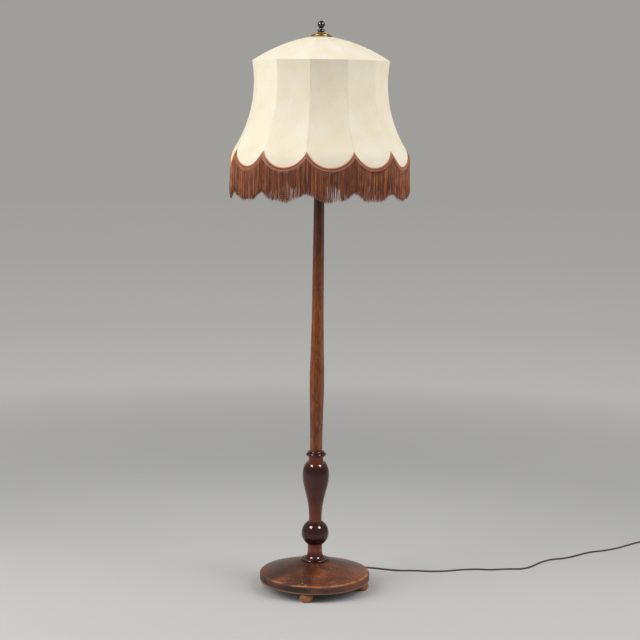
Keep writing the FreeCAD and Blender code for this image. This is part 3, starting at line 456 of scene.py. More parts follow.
def slanting_folds(across, down, number):
    """Faint tension folds: waves at a slant, swelling and fading with two slower waves."""
    chance = np.random.default_rng(fold_seed + number)
    slant = (shallow, steep)[number % 2] + chance.normal(0, 0.05)
    ahead = across * math.sin(slant) + down * math.cos(slant)
    beside = across * math.cos(slant) - down * math.sin(slant)
    total = np.zeros_like(across)
    for share in (1.0, 0.62, 0.41):
        phase, drift = chance.uniform(0, 2 * np.pi, 2)
        swell = np.sin(2 * np.pi * ahead / fold_swell * share + drift)
        total += share * swell * np.sin(2 * np.pi * beside / (fold_gap * share) + phase + 0.7 * swell)
    return fold_height * total, slant


def side_panel(number, columns=44, rows=120):
    """Silk between two ribs: width and height from the side section, each column ending where
    it meets the scallop's arc."""
    length, width, height = side_section()
    u = np.linspace(-1, 1, columns)
    edge = scallop_z - np.sqrt(scallop_arc ** 2 - (u[:, None] * width * spread) ** 2)
    below = height[None] < edge
    last = np.where(below.any(axis=1), below.argmax(axis=1), len(length) - 1)
    s = np.linspace(0, 1, rows)[:, None] * length[last][None]
    x = np.interp(s, length, width)
    z = np.interp(s, length, height)
    lean_x = np.interp(s, length, -np.gradient(height, length))
    lean_z = np.interp(s, length, np.gradient(width, length))
    y = u * x * spread
    folds, slant = slanting_folds(y, s, number)
    calm = (1 - u ** 2) * np.sin(np.pi * np.clip(s / s.max(), 0, 1))
    shift = calm * (folds - belly)
    points = panel_place(number, x + lean_x * shift, y, z + lean_z * shift)
    uv = np.stack([y * math.cos(slant) - s * math.sin(slant), y * math.sin(slant) + s * math.cos(slant)],
                  axis=-1) + number
    return grid_mesh(f"silk_panel_{number + 1:02d}", points, uv), length[last].max()


for number in range(panels):
    mesh, cut_length = side_panel(number)
    panel = show(mesh.name, mesh, silk_finish, "shade", [f"side_panel_{number + 1:02d}"])
    wall = panel.modifiers.new("thickness", "SOLIDIFY")
    wall.thickness = silk_thickness
    wall.offset = -1

# %% [markdown]
# ## The domed top
#
# The same silk closes the top in twelve gores. It is one surface here: a section from crown to
# shoulder, carried round the axis, with its radius stretched to a flat chord between ribs.

# %% Silk dome
dome_belly = 0.8 * belly


def silk_dome(columns_per_gore=16, rows=70):
    """Rows from crown to shoulder. In each gore the radius is width / cos of the angle from the
    gore's middle, so that the cloth runs straight from rib to rib."""
    length, width, height = dome_section(rows)
    local = np.tile(np.linspace(-half_angle, half_angle, columns_per_gore, endpoint=False), panels)
    turn = np.repeat(np.arange(panels) + 0.5, columns_per_gore) * 2 * half_angle
    angle = math.radians(first_rib) + turn + local
    sag = dome_belly * np.sin(np.pi * length / length[-1])[:, None] * (1 - (local / half_angle) ** 2)
    radius = width[:, None] / np.cos(local)
    points = np.stack([radius * np.sin(angle), -radius * np.cos(angle),
                       height[:, None] - sag], axis=-1)
    around = np.append(angle, angle[0] + 2 * np.pi)
    uv = np.stack([width[:, None] * np.sin(around), -width[:, None] * np.cos(around)], axis=-1)
    return grid_mesh("silk_dome", points[:, ::-1], uv[:, ::-1], around=True), length[-1]


dome_mesh, dome_length = silk_dome()
dome = show("silk_dome", dome_mesh, silk_finish, "shade", ["dome_gores"])
wall = dome.modifiers.new("thickness", "SOLIDIFY")
wall.thickness = silk_thickness
wall.offset = -1

# %% [markdown]
# ## Seams
#
# Where two panels meet, the silk is folded over the rib and sewn, which leaves a roll about a
# millimetre thick. A slightly thicker roll runs round the shoulder. They catch a thin line of
# light, and they close the joint between the cloths.

# %% Rolled seams
def rolled_seams():
    """Tubes along the ribs and round the shoulder, laid on the outer corner of the cloth."""
    def lines(width, height, radius, name):
        angle = math.radians(first_rib) + np.arange(panels) * 2 * half_angle
        way = np.stack([np.sin(angle), -np.cos(angle), 0 * angle], axis=-1)
        reach = width / math.cos(half_angle)
        centres = reach[None, :, None] * way[:, None] + height[None, :, None] * np.array([0, 0, 1.0])
        ahead = np.gradient(centres, axis=1)
        ahead /= np.linalg.norm(ahead, axis=2, keepdims=True)
        across = np.broadcast_to(np.cross(way, [0, 0, 1.0])[:, None], centres.shape)
        return tube_mesh(name, centres, across, np.cross(ahead, across), radius, 6)

    _, width, height = side_section(90)
    above = height > cusp_z
    sides = lines(width[above] - 0.2 * mm, height[above], 0.55 * mm, "seams_side")
    _, width, height = dome_section(60)
    tops = lines(width, height - 0.3 * mm, 0.5 * mm, "seams_top")
    shoulder = shoulder_width / math.cos(half_angle)
    corner = math.radians(first_rib) + np.arange(panels + 1) * 2 * half_angle
    ends = np.stack([shoulder * np.sin(corner), -shoulder * np.cos(corner),
                     np.full(panels + 1, shoulder_z - 0.4 * mm)], axis=-1)
    share = np.linspace(0, 1, 12)[None, :, None]
    centres = ends[:-1, None] * (1 - share) + ends[1:, None] * share
    ahead = ends[1:] - ends[:-1]
    out = np.cross(ahead, [0, 0, 1.0])
    out /= np.linalg.norm(out, axis=1, keepdims=True)
    up = np.broadcast_to([0, 0, 1.0], centres.shape)
    roll = tube_mesh("seam_shoulder", centres, up, np.broadcast_to(out[:, None], centres.shape), 0.8 * mm, 8)
    return sides, tops, roll


for mesh in rolled_seams():
    show(mesh.name, mesh, silk_finish, "shade")

# %% [markdown]
# ## Braid
#
# A woven braid covers the cut edge of the silk. Such a braid has a tape for its ground, a
# twisted cord along each side and a wave of yarn between them. Each is a tube or a strip along
# the scallop's arc: the cords are two plies that wind round their middle line.

# %% Finish: copper braid yarn
def braid_yarn():
    """Dyed rayon yarn: shiny copper threads. The fibre noise that sinks the bump also darkens the colour
    there, as painted shade where the threads dip between the plies.
    """
    material, tree = blank("braid, copper rayon")
    uv = add(tree, "ShaderNodeUVMap", uv_map="UVMap").outputs["UV"]
    tone = add(tree, "ShaderNodeAttribute", attribute_name="tone").outputs["Fac"]
    fibre = streaks(tree, uv, (9.0, 900.0, 1.0), turn=0.01, Detail=3.0)
    mixed = add(tree, "ShaderNodeMath", {0: fibre, 1: 0.5, 2: tone}, operation="MULTIPLY_ADD")
    # painted shade: the fibre noise darkens the yarn where its bump sinks
    colour = add(tree, "ShaderNodeValToRGB", {"Fac": mixed.outputs["Value"]},
                 [(0.15, "#843E28"), (0.50, "#C77851"), (0.95, "#F4B386")])
    bump = add(tree, "ShaderNodeBump", {"Height": fibre, "Strength": 0.4, "Distance": 0.15 * mm})
    return finish(material, {"Base Color": colour.outputs["Color"], "Normal": bump.outputs["Normal"],
                             "Roughness": 0.5, "Sheen Weight": 0.2})


braid_finish = braid_yarn()

# %% Braid: tape, cords and wave
braid_width = 10.0 * mm
braid_stand = 0.5 * mm                  # gap between the silk and the tape


def scallop_line(offset, count):
    """Places along the scallop at a distance below its arc, from cusp to cusp. Returns angle,
    distance along, and the panel's own x, y, z."""
    reach = scallop_arc + offset
    limit = math.asin(min(1.0, cusp_span / scallop_arc))
    for _ in range(12):
        height = scallop_z - reach * math.cos(limit)
        limit = math.asin((float(lobe_face(height)) + braid_stand) * spread / reach)
    angle = np.linspace(-limit, limit, count)
    z = scallop_z - reach * np.cos(angle)
    return angle, reach * angle, lobe_face(z) + braid_stand, reach * np.sin(angle), z


def braid_tube(offset, stand, wave, pitch, phase, radius, count, sides, lift=None):
    """A yarn on every panel: it leaves the line by wave * cos across it and by lift * sin
    outwards, once per pitch."""
    angle, along, x, y, z = scallop_line(offset, count)
    turn = 2 * np.pi * along / pitch + phase
    lift = wave if lift is None else lift
    side = wave * np.cos(turn)
    x = x + stand + lift * np.sin(turn)
    y = y + side * np.sin(angle)
    z = z - side * np.cos(angle)
    centres, across, outward = [], [], []
    for number in range(panels):
        centres.append(panel_place(number, x, y, z))
        across.append(panel_place(number, 0 * x, np.sin(angle), -np.cos(angle)))
        outward.append(panel_place(number, 1 + 0 * x, 0 * x, 0 * x))
    return [np.array(part) for part in (centres, across, outward)], radius, sides


def yarn_piece(name, yarns, tone):
    """Join several yarns of one kind into one piece."""
    (centres, across, outward), radius, sides = yarns[0]
    parts = [np.concatenate([yarn[0][k] for yarn in yarns]) for k in range(3)]
    tones = np.full(len(parts[0]), tone)
    return tube_mesh(name, *parts, radius, sides, tones=tones)


def braid_tape():
    """The ground of the braid: a flat strip with rounded edges, closed all round."""
    outline = np.array([(-1, 0.0), (-0.97, 0.6), (-0.8, 0.9), (0, 1.0), (0.8, 0.9), (0.97, 0.6),
                        (1, 0.0), (0, -0.1)])
    rings = []
    for share, depth in outline:
        _, along, x, y, z = scallop_line(share * braid_width / 2, 70)
        rings.append(np.stack([x + depth * 1.0 * mm, y, z], axis=-1))
    strip = np.array(rings).transpose(1, 0, 2)
    whole = [panel_place(number, *np.moveaxis(strip, 2, 0)) for number in range(panels)]
    points = np.array(whole).reshape(-1, len(outline), 3)
    index = np.arange(len(points) * len(outline)).reshape(len(points), -1)
    faces = corners_of(np.vstack([np.hstack([index, index[:, :1]]), np.hstack([index[:1], index[:1, :1]])]))
    uv = np.zeros((len(faces), 4, 2))
    values = np.full(points.shape[0] * points.shape[1], 0.05)
    return fill_mesh("braid_tape", points.reshape(-1, 3), faces[:, ::-1], uv, values)


ply, cord_wind = 0.62 * mm, 4.6 * mm
upper, lower = -3.4 * mm, 3.4 * mm
cords = [braid_tube(offset, 1.6 * mm, ply, cord_wind, phase, ply * 1.15, 270, 4)
         for offset in (upper, lower) for phase in (0.0, np.pi)]
wave = [braid_tube(0.0, 1.5 * mm, 1.7 * mm, 4.4 * mm, 0.0, 0.55 * mm, 320, 4, lift=0.35 * mm)]
show("braid_tape", braid_tape(), braid_finish, "shade", ["braid"])
for name, yarns, tone in (("braid_cords", cords, 0.42), ("braid_wave", wave, 0.22)):
    show(name, yarn_piece(name, yarns, tone), braid_finish, "shade")

# %% [markdown]
# ## Fringe
#
# Hundreds of soft rayon threads hang from the braid. They are sewn on evenly along the curve,
# so they stand closer together under the cusps, where the curve is steep, and further apart
# in the middle of each scallop. Lower down they cling to their neighbours and leave gaps. Each
# thread is a four-sided tube that turns as it falls, which reads as a twisted yarn and costs
# few faces.

# %% Finish: twisted fringe thread
def fringe_thread():
    """Twisted rayon in uneven copper browns. The ply bands that raise the bump also colour it: painted light
    on the ridges, painted shade in the hollows between the plies.
    """
    material, tree = blank("fringe, copper brown rayon")
    uv = add(tree, "ShaderNodeUVMap", uv_map="UVMap").outputs["UV"]
    tone = add(tree, "ShaderNodeAttribute", attribute_name="tone").outputs["Fac"]
    twist_gap = 2.6 * mm
    winding = add(tree, "ShaderNodeMapping", {"Vector": uv, "Scale": (1.0, 1 / twist_gap, 1.0)})
    plies = add(tree, "ShaderNodeTexWave", {"Vector": winding.outputs["Vector"], "Scale": 0.32,
                                            "Distortion": 1.5, "Detail": 1.0},
                wave_type="BANDS", bands_direction="DIAGONAL").outputs["Fac"]
    mixed = add(tree, "ShaderNodeMath", {0: plies, 1: 0.28, 2: tone}, operation="MULTIPLY_ADD")
    # the ply bands paint light on the ridges and shade in the hollows
    colour = add(tree, "ShaderNodeValToRGB", {"Fac": mixed.outputs["Value"]},
                 [(0.05, "#4B1909"), (0.36, "#7F3A1A"), (0.70, "#B26330"), (1.0, "#E39A65")])
    bump = add(tree, "ShaderNodeBump", {"Height": plies, "Strength": 0.5, "Distance": 0.2 * mm})
    return finish(material, {"Base Color": colour.outputs["Color"], "Normal": bump.outputs["Normal"],
                             "Roughness": 0.42, "Sheen Weight": 0.25})


fringe_finish = fringe_thread()

# %% Fringe threads
fringe_low_z = 1151.0 * mm
fringe_cusp_z = 1175.5 * mm
thread_radius = 0.62 * mm
thread_twist = 260.0                    # turn of a thread in radians per metre
thread_seed = 11
thread_rows = ((118, 0.4 * mm), (96, -0.9 * mm), (60, 0.9 * mm))    # threads, stand from the silk
# painted shade: the threads of the row that hangs behind the others are made darker
shaded_row = (0.0, 0.12, 0.0)           # the row behind is darker
sewn_line = braid_width / 2 - 1.2 * mm  # how far below the cloth's edge the threads start
sewn_scatter = 0.25 * mm
clump_gap = 5.2 * mm
sway_reach = 0.9 * mm
short_share, short_by = 0.12, 7 * mm
stray_share, stray_reach = 0.05, 4 * mm
thin_places = {0: 15 * mm, 11: 27 * mm}     # panel: where its fringe has thinned
thin_half_width = 11 * mm
thinned_share, thinned_by = 0.62, (26 * mm, 40 * mm)
rings_per_thread = 13
lower_drop = fringe_cusp_z - fringe_low_z
lower_arc = (cusp_span ** 2 + lower_drop ** 2) / (2 * lower_drop)


def hanging_threads(number):
    """Threads of one panel. Down a thread, s goes from 0 to 1: it drops from the scallop to the
    lower curve, drifts towards its clump by s to the power 1.6, and sways in a slow wave."""
    chance = np.random.default_rng(thread_seed + number)
    s = np.linspace(0, 1, rings_per_thread)[None]
    centres, tones = [], []
    for row, (count, stand) in enumerate(thread_rows):
        _, _, x, y, z = scallop_line(sewn_line, count)
        y = y + chance.normal(0, sewn_scatter, count)
        x = x + stand + chance.normal(0, sewn_scatter, count)
        low = fringe_low_z + lower_arc - np.sqrt(lower_arc ** 2 - np.minimum(np.abs(y), cusp_span) ** 2)
        low = low + chance.normal(1.0 * mm, 1.8 * mm, count) + 2.0 * mm * np.sin(y / (9 * mm) + 2 * number)
        low = low + np.abs(chance.normal(0, 1, count)) * (chance.random(count) < short_share) * short_by
        if number in thin_places:
            near = np.abs(y - thin_places[number]) < thin_half_width
            gone = chance.random(count) < thinned_share
            low = low + near * gone * chance.uniform(*thinned_by, count)
        clump = np.round(y / clump_gap + chance.normal(0, 0.22, count)) * clump_gap
        pull = chance.uniform(0.15, 0.62, count)[:, None] * s ** 1.6
        sway = chance.normal(0, sway_reach, count)[:, None] * np.sin(
            s * chance.uniform(3, 8, count)[:, None] + chance.uniform(0, 6, count)[:, None])
        stray = (chance.random(count) < stray_share)[:, None] * chance.normal(0, stray_reach, count)[:, None]
        across = y[:, None] + (clump - y)[:, None] * pull + sway * s + stray * np.sin(np.pi * s) * s
        out = x[:, None] + chance.normal(0.2, 1.0, count)[:, None] * mm * s ** 1.5 + 0.5 * sway * s
        fall = z[:, None] + (low - z)[:, None] * s
        centres.append(panel_place(number, out, across, fall))
        tones.append(np.clip(chance.normal(0.33, 0.22, count) - shaded_row[row], 0.02, 0.85))
    centres = np.concatenate(centres)
    across, outward = (np.broadcast_to(panel_place(number, *np.array(way)), centres.shape)
                       for way in ((0.0, 1.0, 0.0), (1.0, 0.0, 0.0)))
    taper = thread_radius * np.interp(np.linspace(0, 1, rings_per_thread), [0, 0.06, 0.94, 1],
                                      [0.7, 1.0, 1.0, 0.35])
    return tube_mesh(f"fringe_{number + 1:02d}", centres, across, outward, taper, 4, thread_twist,
                     np.concatenate(tones))


for number in range(panels):
    show(f"fringe_{number + 1:02d}", hanging_threads(number), fringe_finish, "shade",
         ["fringe"] if number == 0 else [])

# %% [markdown]
# ## The planed shaft
#
# The tall shaft is six-sided. It was planed by hand, so its edges are softened and its girth
# swells a quarter of the way up. Each height takes a hexagon whose corners are small arcs, and
# the point's nearness to an edge is kept as a value for the wear.

# %% Shaft surface
shaft_length = 824 * mm                 # above its socket in the baluster
shaft_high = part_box("upper_column")[1].z
shaft_low = shaft_high - shaft_length
shaft_turn = math.radians(3.0)
girth_at = np.array([0.0, 0.10, 0.25, 0.375, 0.47, 0.66, 0.855, 1.0])
girth = np.array([17.8, 18.8, 21.3, 19.1, 17.6, 16.6, 15.2, 14.5]) * mm
edge_round = 1.6 * mm


def smooth_between(share, marks, values):
    """A smooth curve through marks: cubic pieces whose slopes are those of the neighbours."""
    slope = np.gradient(values, marks)
    k = np.clip(np.searchsorted(marks, share) - 1, 0, len(marks) - 2)
    step = marks[k + 1] - marks[k]
    t = (share - marks[k]) / step
    return ((1 + 2 * t) * (1 - t) ** 2 * values[k] + t * (1 - t) ** 2 * step * slope[k]
            + t ** 2 * (3 - 2 * t) * values[k + 1] + t ** 2 * (t - 1) * step * slope[k + 1])


def planed_shaft(rows=160, per_corner=7):
    """Corner arc: corner of a smaller hexagon + edge_round * direction. Rows go up the shaft."""
    share = np.linspace(0, 1, rows)
    reach = smooth_between(share, girth_at, girth)[:, None]
    corner = (np.arange(6) + 0.5) * math.pi / 3 + shaft_turn
    bend = np.linspace(-math.pi / 6, math.pi / 6, per_corner)
    middle = np.repeat(corner, per_corner)
    way = middle + np.tile(bend, 6)
    inner = reach - edge_round / math.cos(math.pi / 6)
    x = inner * np.sin(middle) + edge_round * np.sin(way)
    y = -inner * np.cos(middle) - edge_round * np.cos(way)
    z = np.broadcast_to((shaft_low + share * (shaft_high - shaft_low))[:, None], x.shape)
    points = np.stack([x, y, z], axis=-1)
    u = np.append(np.arange(len(middle)), len(middle)) / len(middle)
    uv = np.stack(np.broadcast_arrays(u[None], z[:, :1]), axis=-1)
    mesh = grid_mesh("shaft_planed", points, uv, around=True)
    tone = mesh.attributes.new("tone", "FLOAT", "POINT")
    near = np.broadcast_to(1 - np.abs(np.tile(bend, 6)) / (math.pi / 6), x.shape)
    tone.data.foreach_set("value", np.ascontiguousarray(near, np.float32).ravel())
    shell = bmesh.new()
    shell.from_mesh(mesh)
    rims = [edge for edge in shell.edges if edge.is_boundary]
    bmesh.ops.holes_fill(shell, edges=rims, sides=0)
    bmesh.ops.recalc_face_normals(shell, faces=shell.faces)
    for edge in shell.edges:
        edge.smooth = edge.calc_face_angle(0.0) < math.radians(50)
    shell.to_mesh(mesh)
    shell.free()
    return mesh


# %% [markdown]
# ## Wood finishes
#
# The lamp is stained beech or birch under old shellac. The turned column kept its shine and is
# a deep red brown, paler in its narrow necks. The shaft is mottled orange brown, and a painted
# shadow darkens it towards its top, under the lampshade. The base took the knocks: its top is
# worn to a bright line along the front edge and the shellac has crazed into pale flakes, while its
# rim is dull.

# %% Finish: polished baluster
def stain_and_shadow_by_height(tree, place, low, high, stops):
    """The colour of a column, read from a ramp that runs from its foot to its top: its stain, and on the
    shaft a painted shadow under the lampshade as well.
    """
    height = add(tree, "ShaderNodeSeparateXYZ", {"Vector": place}).outputs["Z"]
    share = add(tree, "ShaderNodeMapRange", {"Value": height, "From Min": low, "From Max": high})
    return add(tree, "ShaderNodeValToRGB", {"Fac": share.outputs["Result"]}, stops).outputs["Color"]


def polished_baluster():
    """Shellac rubbed to a mirror over red-brown stain. Necks, where the stain wiped thin, are
    paler. The grain runs along the lathe's axis."""
    material, tree = blank("wood, red-brown, french polished")
    place = add(tree, "ShaderNodeTexCoord").outputs["Object"]
    grain = streaks(tree, place, (220.0, 220.0, 9.0), Detail=5.0, Distortion=0.6)
    cloud = add(tree, "ShaderNodeTexNoise", {"Vector": place, "Scale": 24.0, "Detail": 3.0})
    column_low, column_high = 83.5 * mm, 411 * mm
    stain = stain_and_shadow_by_height(tree, place, column_low, column_high,
                            [(0.0, "#5A2410"), (0.03, "#4A1A0C"), (0.07, "#6A2A10"), (0.10, "#A04A18"),
                             (0.145, "#7A3412"), (0.165, "#3E100A"), (0.25, "#481410"),
                             (0.345, "#3A0E08"), (0.37, "#7E3610"), (0.45, "#74300F"),
                             (0.56, "#5E220E"), (0.72, "#561A0C"), (0.86, "#40100A"),
                             (0.90, "#7A3410"), (0.955, "#84380F"), (0.97, "#4E1C0C"), (1.0, "#5A240E")])
    stained = tinted(tree, 0.8, stain, grain, [(0.30, "#A89890"), (0.70, "#FFFFFF")])
    colour = tinted(tree, 0.6, stained, cloud.outputs["Fac"], [(0.30, "#B8A8A0"), (0.70, "#FFFFFF")])
    bump = add(tree, "ShaderNodeBump", {"Height": grain, "Strength": 0.08, "Distance": 0.2 * mm})
    return finish(material, {"Base Color": colour, "Normal": bump.outputs["Normal"], "Roughness": 0.12})


# %% Finish: planed shaft
def planed_wood():
    """The same stain over figured wood, half polished: mottled, with rubbed pale edges, and
    nearly black-brown at the top, where a painted shadow darkens it under the lampshade."""
    material, tree = blank("wood, orange-brown, figured")
    place = add(tree, "ShaderNodeTexCoord").outputs["Object"]
    edge = add(tree, "ShaderNodeAttribute", attribute_name="tone").outputs["Fac"]
    grain = streaks(tree, place, (260.0, 260.0, 12.0), Detail=6.0, Distortion=1.2)
    figure = streaks(tree, place, (90.0, 90.0, 26.0), Detail=4.0, Distortion=1.5)
    # painted shadow: the upper part of this ramp darkens the shaft under the lampshade
    stain = stain_and_shadow_by_height(tree, place, shaft_low, shaft_high,
                            [(0.0, "#8E4C20"), (0.18, "#924E20"), (0.45, "#9A521C"), (0.62, "#84441A"),
                             (0.74, "#703816"), (0.84, "#5C2C12"), (0.93, "#46200E"), (1.0, "#38180C")])
    mottled = tinted(tree, 0.85, stain, figure, [(0.32, "#7A5F50"), (0.48, "#D8C8BC"), (0.66, "#FFFFFF")])
    grained = tinted(tree, 0.7, mottled, grain, [(0.28, "#A08C80"), (0.62, "#FFFFFF")])
    rubbed = add(tree, "ShaderNodeMath", {0: edge, 1: grain}, operation="MULTIPLY")
    worn = add(tree, "ShaderNodeMix", {0: rubbed.outputs["Value"], 6: grained, 7: linear("#A8683A")},
               data_type="RGBA")
    bump = add(tree, "ShaderNodeBump", {"Height": grain, "Strength": 0.2, "Distance": 0.3 * mm})
    return finish(material, {"Base Color": worn.outputs[2], "Normal": bump.outputs["Normal"],
                             "Roughness": 0.38})


show("shaft_planed", planed_shaft(), planed_wood(), "stand", ["upper_column"])

# %% Finish: worn base
def worn_base():
    """Shellac on a turned board, scuffed and crazed. Distance from the axis places the worn line and
    the dull rim, and a cell pattern 5 mm across breaks the shellac into flakes. Height places a
    painted highlight in a pale line low on the rim, and painted shade under the base."""
    material, tree = blank("wood, brown, crazed shellac")
    place = add(tree, "ShaderNodeTexCoord").outputs["Object"]
    axes = add(tree, "ShaderNodeSeparateXYZ", {"Vector": place}).outputs
    plan = add(tree, "ShaderNodeCombineXYZ", {"X": axes["X"], "Y": axes["Y"]}).outputs["Vector"]
    reach = add(tree, "ShaderNodeVectorMath", {0: plan}, operation="LENGTH").outputs["Value"]
    front = add(tree, "ShaderNodeVectorMath", {0: place, 1: (0.45, -1.0, 0.0)},
                operation="DOT_PRODUCT").outputs["Value"]
    grain = streaks(tree, place, (14.0, 150.0, 150.0), turn=math.radians(12), Detail=6.0, Distortion=0.8)
    cloud = add(tree, "ShaderNodeTexNoise", {"Vector": place, "Scale": 11.0, "Detail": 4.0,
                                             "Distortion": 0.7}).outputs["Fac"]
    patch = add(tree, "ShaderNodeTexNoise", {"Vector": place, "Scale": 30.0, "Detail": 5.0}).outputs["Fac"]
    cells = add(tree, "ShaderNodeTexVoronoi", {"Vector": place, "Scale": 210.0}, feature="F1")
    # the line is worn through where a noise is high, and more of it towards the front
    front_wear = add(tree, "ShaderNodeMapRange", {"Value": front, "From Min": 0.07, "From Max": 0.135,
                                                  "To Max": 0.22})
    wear = add(tree, "ShaderNodeMath", {0: patch, 1: front_wear.outputs["Result"]}, operation="ADD")
    # each mask goes from 0 to 1 between two values of a distance, a height or a noise
    mask = {}
    for name, value, none, full in (
            ("cell", cells.outputs["Distance"], 0.42, 0.20), ("patchy", patch, 0.50, 0.62),
            ("near_front", front, 0.02, 0.10), ("line_inside", reach, 149.5 * mm, 155.0 * mm),
            ("line_outside", reach, 160.2 * mm, 158.6 * mm), ("broken", wear.outputs["Value"], 0.57, 0.70),
            # painted highlight: a pale line low on the rim, placed by height
            ("rim", reach, 159.6 * mm, 160.6 * mm), ("painted_bead_highlight", axes["Z"], 30.6 * mm, 29.4 * mm),
            # painted shade: near black under the base and on the rim's lowest millimetre
            ("painted_underside_shade", axes["Z"], 27.4 * mm, 26.4 * mm)):
        span = add(tree, "ShaderNodeMapRange", {"Value": value, "From Min": none, "From Max": full})
        mask[name] = span.outputs["Result"]
    for name, first, *others in (("flakes", "cell", "patchy", "near_front"),
                                 ("worn_line", "line_inside", "line_outside", "broken")):
        mask[name] = mask[first]
        for other in others:
            both = add(tree, "ShaderNodeMath", {0: mask[name], 1: mask[other]}, operation="MULTIPLY")
            mask[name] = both.outputs["Value"]
    board = add(tree, "ShaderNodeValToRGB", {"Fac": cloud},
                [(0.32, "#3C2015"), (0.46, "#5E2F1B"), (0.58, "#7C4122"), (0.72, "#985428")])
    rim = add(tree, "ShaderNodeValToRGB", {"Fac": cloud},
              [(0.36, "#2E1A12"), (0.50, "#4E2E22"), (0.66, "#6E4030")])
    colour = tinted(tree, 0.75, board.outputs["Color"], grain, [(0.30, "#A89488"), (0.65, "#FFFFFF")])
    for name, paint in (("flakes", linear("#C8A084")), ("worn_line", linear("#C8793C")),
                        # painted highlight: the pale line low on the rim
                        ("rim", rim.outputs["Color"]), ("painted_bead_highlight", linear("#8A6450")),
                        # painted shade: near black under the base
                        ("painted_underside_shade", linear("#1E120C"))):
        layer = add(tree, "ShaderNodeMix", {0: mask[name], 6: colour, 7: paint}, data_type="RGBA")
        colour = layer.outputs[2]
    scuffed = add(tree, "ShaderNodeMath", {0: mask["flakes"], 1: mask["rim"]}, operation="MAXIMUM")
    rough = add(tree, "ShaderNodeMapRange", {"Value": scuffed.outputs["Value"], "To Min": 0.30,
                                             "To Max": 0.60})
    crazed = add(tree, "ShaderNodeMath", {0: mask["flakes"], 1: 0.5, 2: grain}, operation="MULTIPLY_ADD")
    bump = add(tree, "ShaderNodeBump", {"Height": crazed.outputs["Value"], "Strength": 0.35,
                                        "Distance": 0.5 * mm})
    return finish(material, {"Base Color": colour, "Normal": bump.outputs["Normal"],
                             "Roughness": rough.outputs["Result"]})


# %% Finish: plain woods, metals and moulded pieces
def grained_wood(name, dark, pale, roughness, coat, scale):
    """Straight-grained wood in two stains, as on the feet."""
    material, tree = blank(name)
    place = add(tree, "ShaderNodeTexCoord").outputs["Object"]
    grain = streaks(tree, place, scale, Detail=6.0, Distortion=0.9)
    colour = add(tree, "ShaderNodeValToRGB", {"Fac": grain}, [(0.28, dark), (0.72, pale)])
    bump = add(tree, "ShaderNodeBump", {"Height": grain, "Strength": 0.3, "Distance": 0.4 * mm})
    return finish(material, {"Base Color": colour.outputs["Color"], "Normal": bump.outputs["Normal"],
                             "Roughness": roughness, "Coat Weight": coat})


def worn_metal(name, dull, bright, roughness, grit):
    """Metal whose lacquer or polish has worn in clouds: colour and roughness vary together."""
    material, tree = blank(name)
    place = add(tree, "ShaderNodeTexCoord").outputs["Object"]
    cloud = add(tree, "ShaderNodeTexNoise", {"Vector": place, "Scale": grit, "Detail": 6.0,
                                             "Roughness": 0.62}).outputs["Fac"]
    colour = add(tree, "ShaderNodeValToRGB", {"Fac": cloud}, [(0.34, dull), (0.62, bright)])
    rough = add(tree, "ShaderNodeMapRange", {"Value": cloud, "From Min": 0.3, "From Max": 0.7,
                                             "To Min": roughness + 0.12, "To Max": roughness - 0.06})
    bump = add(tree, "ShaderNodeBump", {"Height": cloud, "Strength": 0.06, "Distance": 0.2 * mm})
    return finish(material, {"Base Color": colour.outputs["Color"], "Normal": bump.outputs["Normal"],
                             "Roughness": rough.outputs["Result"], "Metallic": 1.0})


def smooth_skin(name, dark, pale, roughness, coat, grit, ior=1.5):
    """A moulded, glazed or lacquered skin: nearly even, with faint clouds and pinholes."""
    material, tree = blank(name)
    place = add(tree, "ShaderNodeTexCoord").outputs["Object"]
    cloud = add(tree, "ShaderNodeTexNoise", {"Vector": place, "Scale": grit, "Detail": 5.0}).outputs["Fac"]
    colour = add(tree, "ShaderNodeValToRGB", {"Fac": cloud}, [(0.30, dark), (0.70, pale)])
    bump = add(tree, "ShaderNodeBump", {"Height": cloud, "Strength": 0.08, "Distance": 0.2 * mm})
    return finish(material, {"Base Color": colour.outputs["Color"], "Normal": bump.outputs["Normal"],
                             "Roughness": roughness, "IOR": ior,
                             "Coat Weight": coat, "Coat Roughness": 0.05})


def bound_wire():
    """Frame wire bound with cotton tape: turns of tape 5 mm apart across the wire."""
    material, tree = blank("frame wire, cotton bound")
    place = add(tree, "ShaderNodeTexCoord").outputs["Object"]
    turns = add(tree, "ShaderNodeTexWave", {"Vector": place, "Scale": 60.0, "Distortion": 1.0},
                wave_type="BANDS", bands_direction="DIAGONAL").outputs["Fac"]
    colour = add(tree, "ShaderNodeValToRGB", {"Fac": turns},
                 [(0.0, "#B9AD95"), (0.35, "#DAD0BB"), (1.0, "#E6DDCB")])
    bump = add(tree, "ShaderNodeBump", {"Height": turns, "Strength": 0.5, "Distance": 0.3 * mm})
    return finish(material, {"Base Color": colour.outputs["Color"], "Normal": bump.outputs["Normal"],
                             "Roughness": 0.85})


# %% [markdown]
# ## Dressing the turned and metal pieces
#
# These nodes have the right shape already, so each only takes a finish. The record's material
# slots say what each is made of, and one table joins slot and finish.

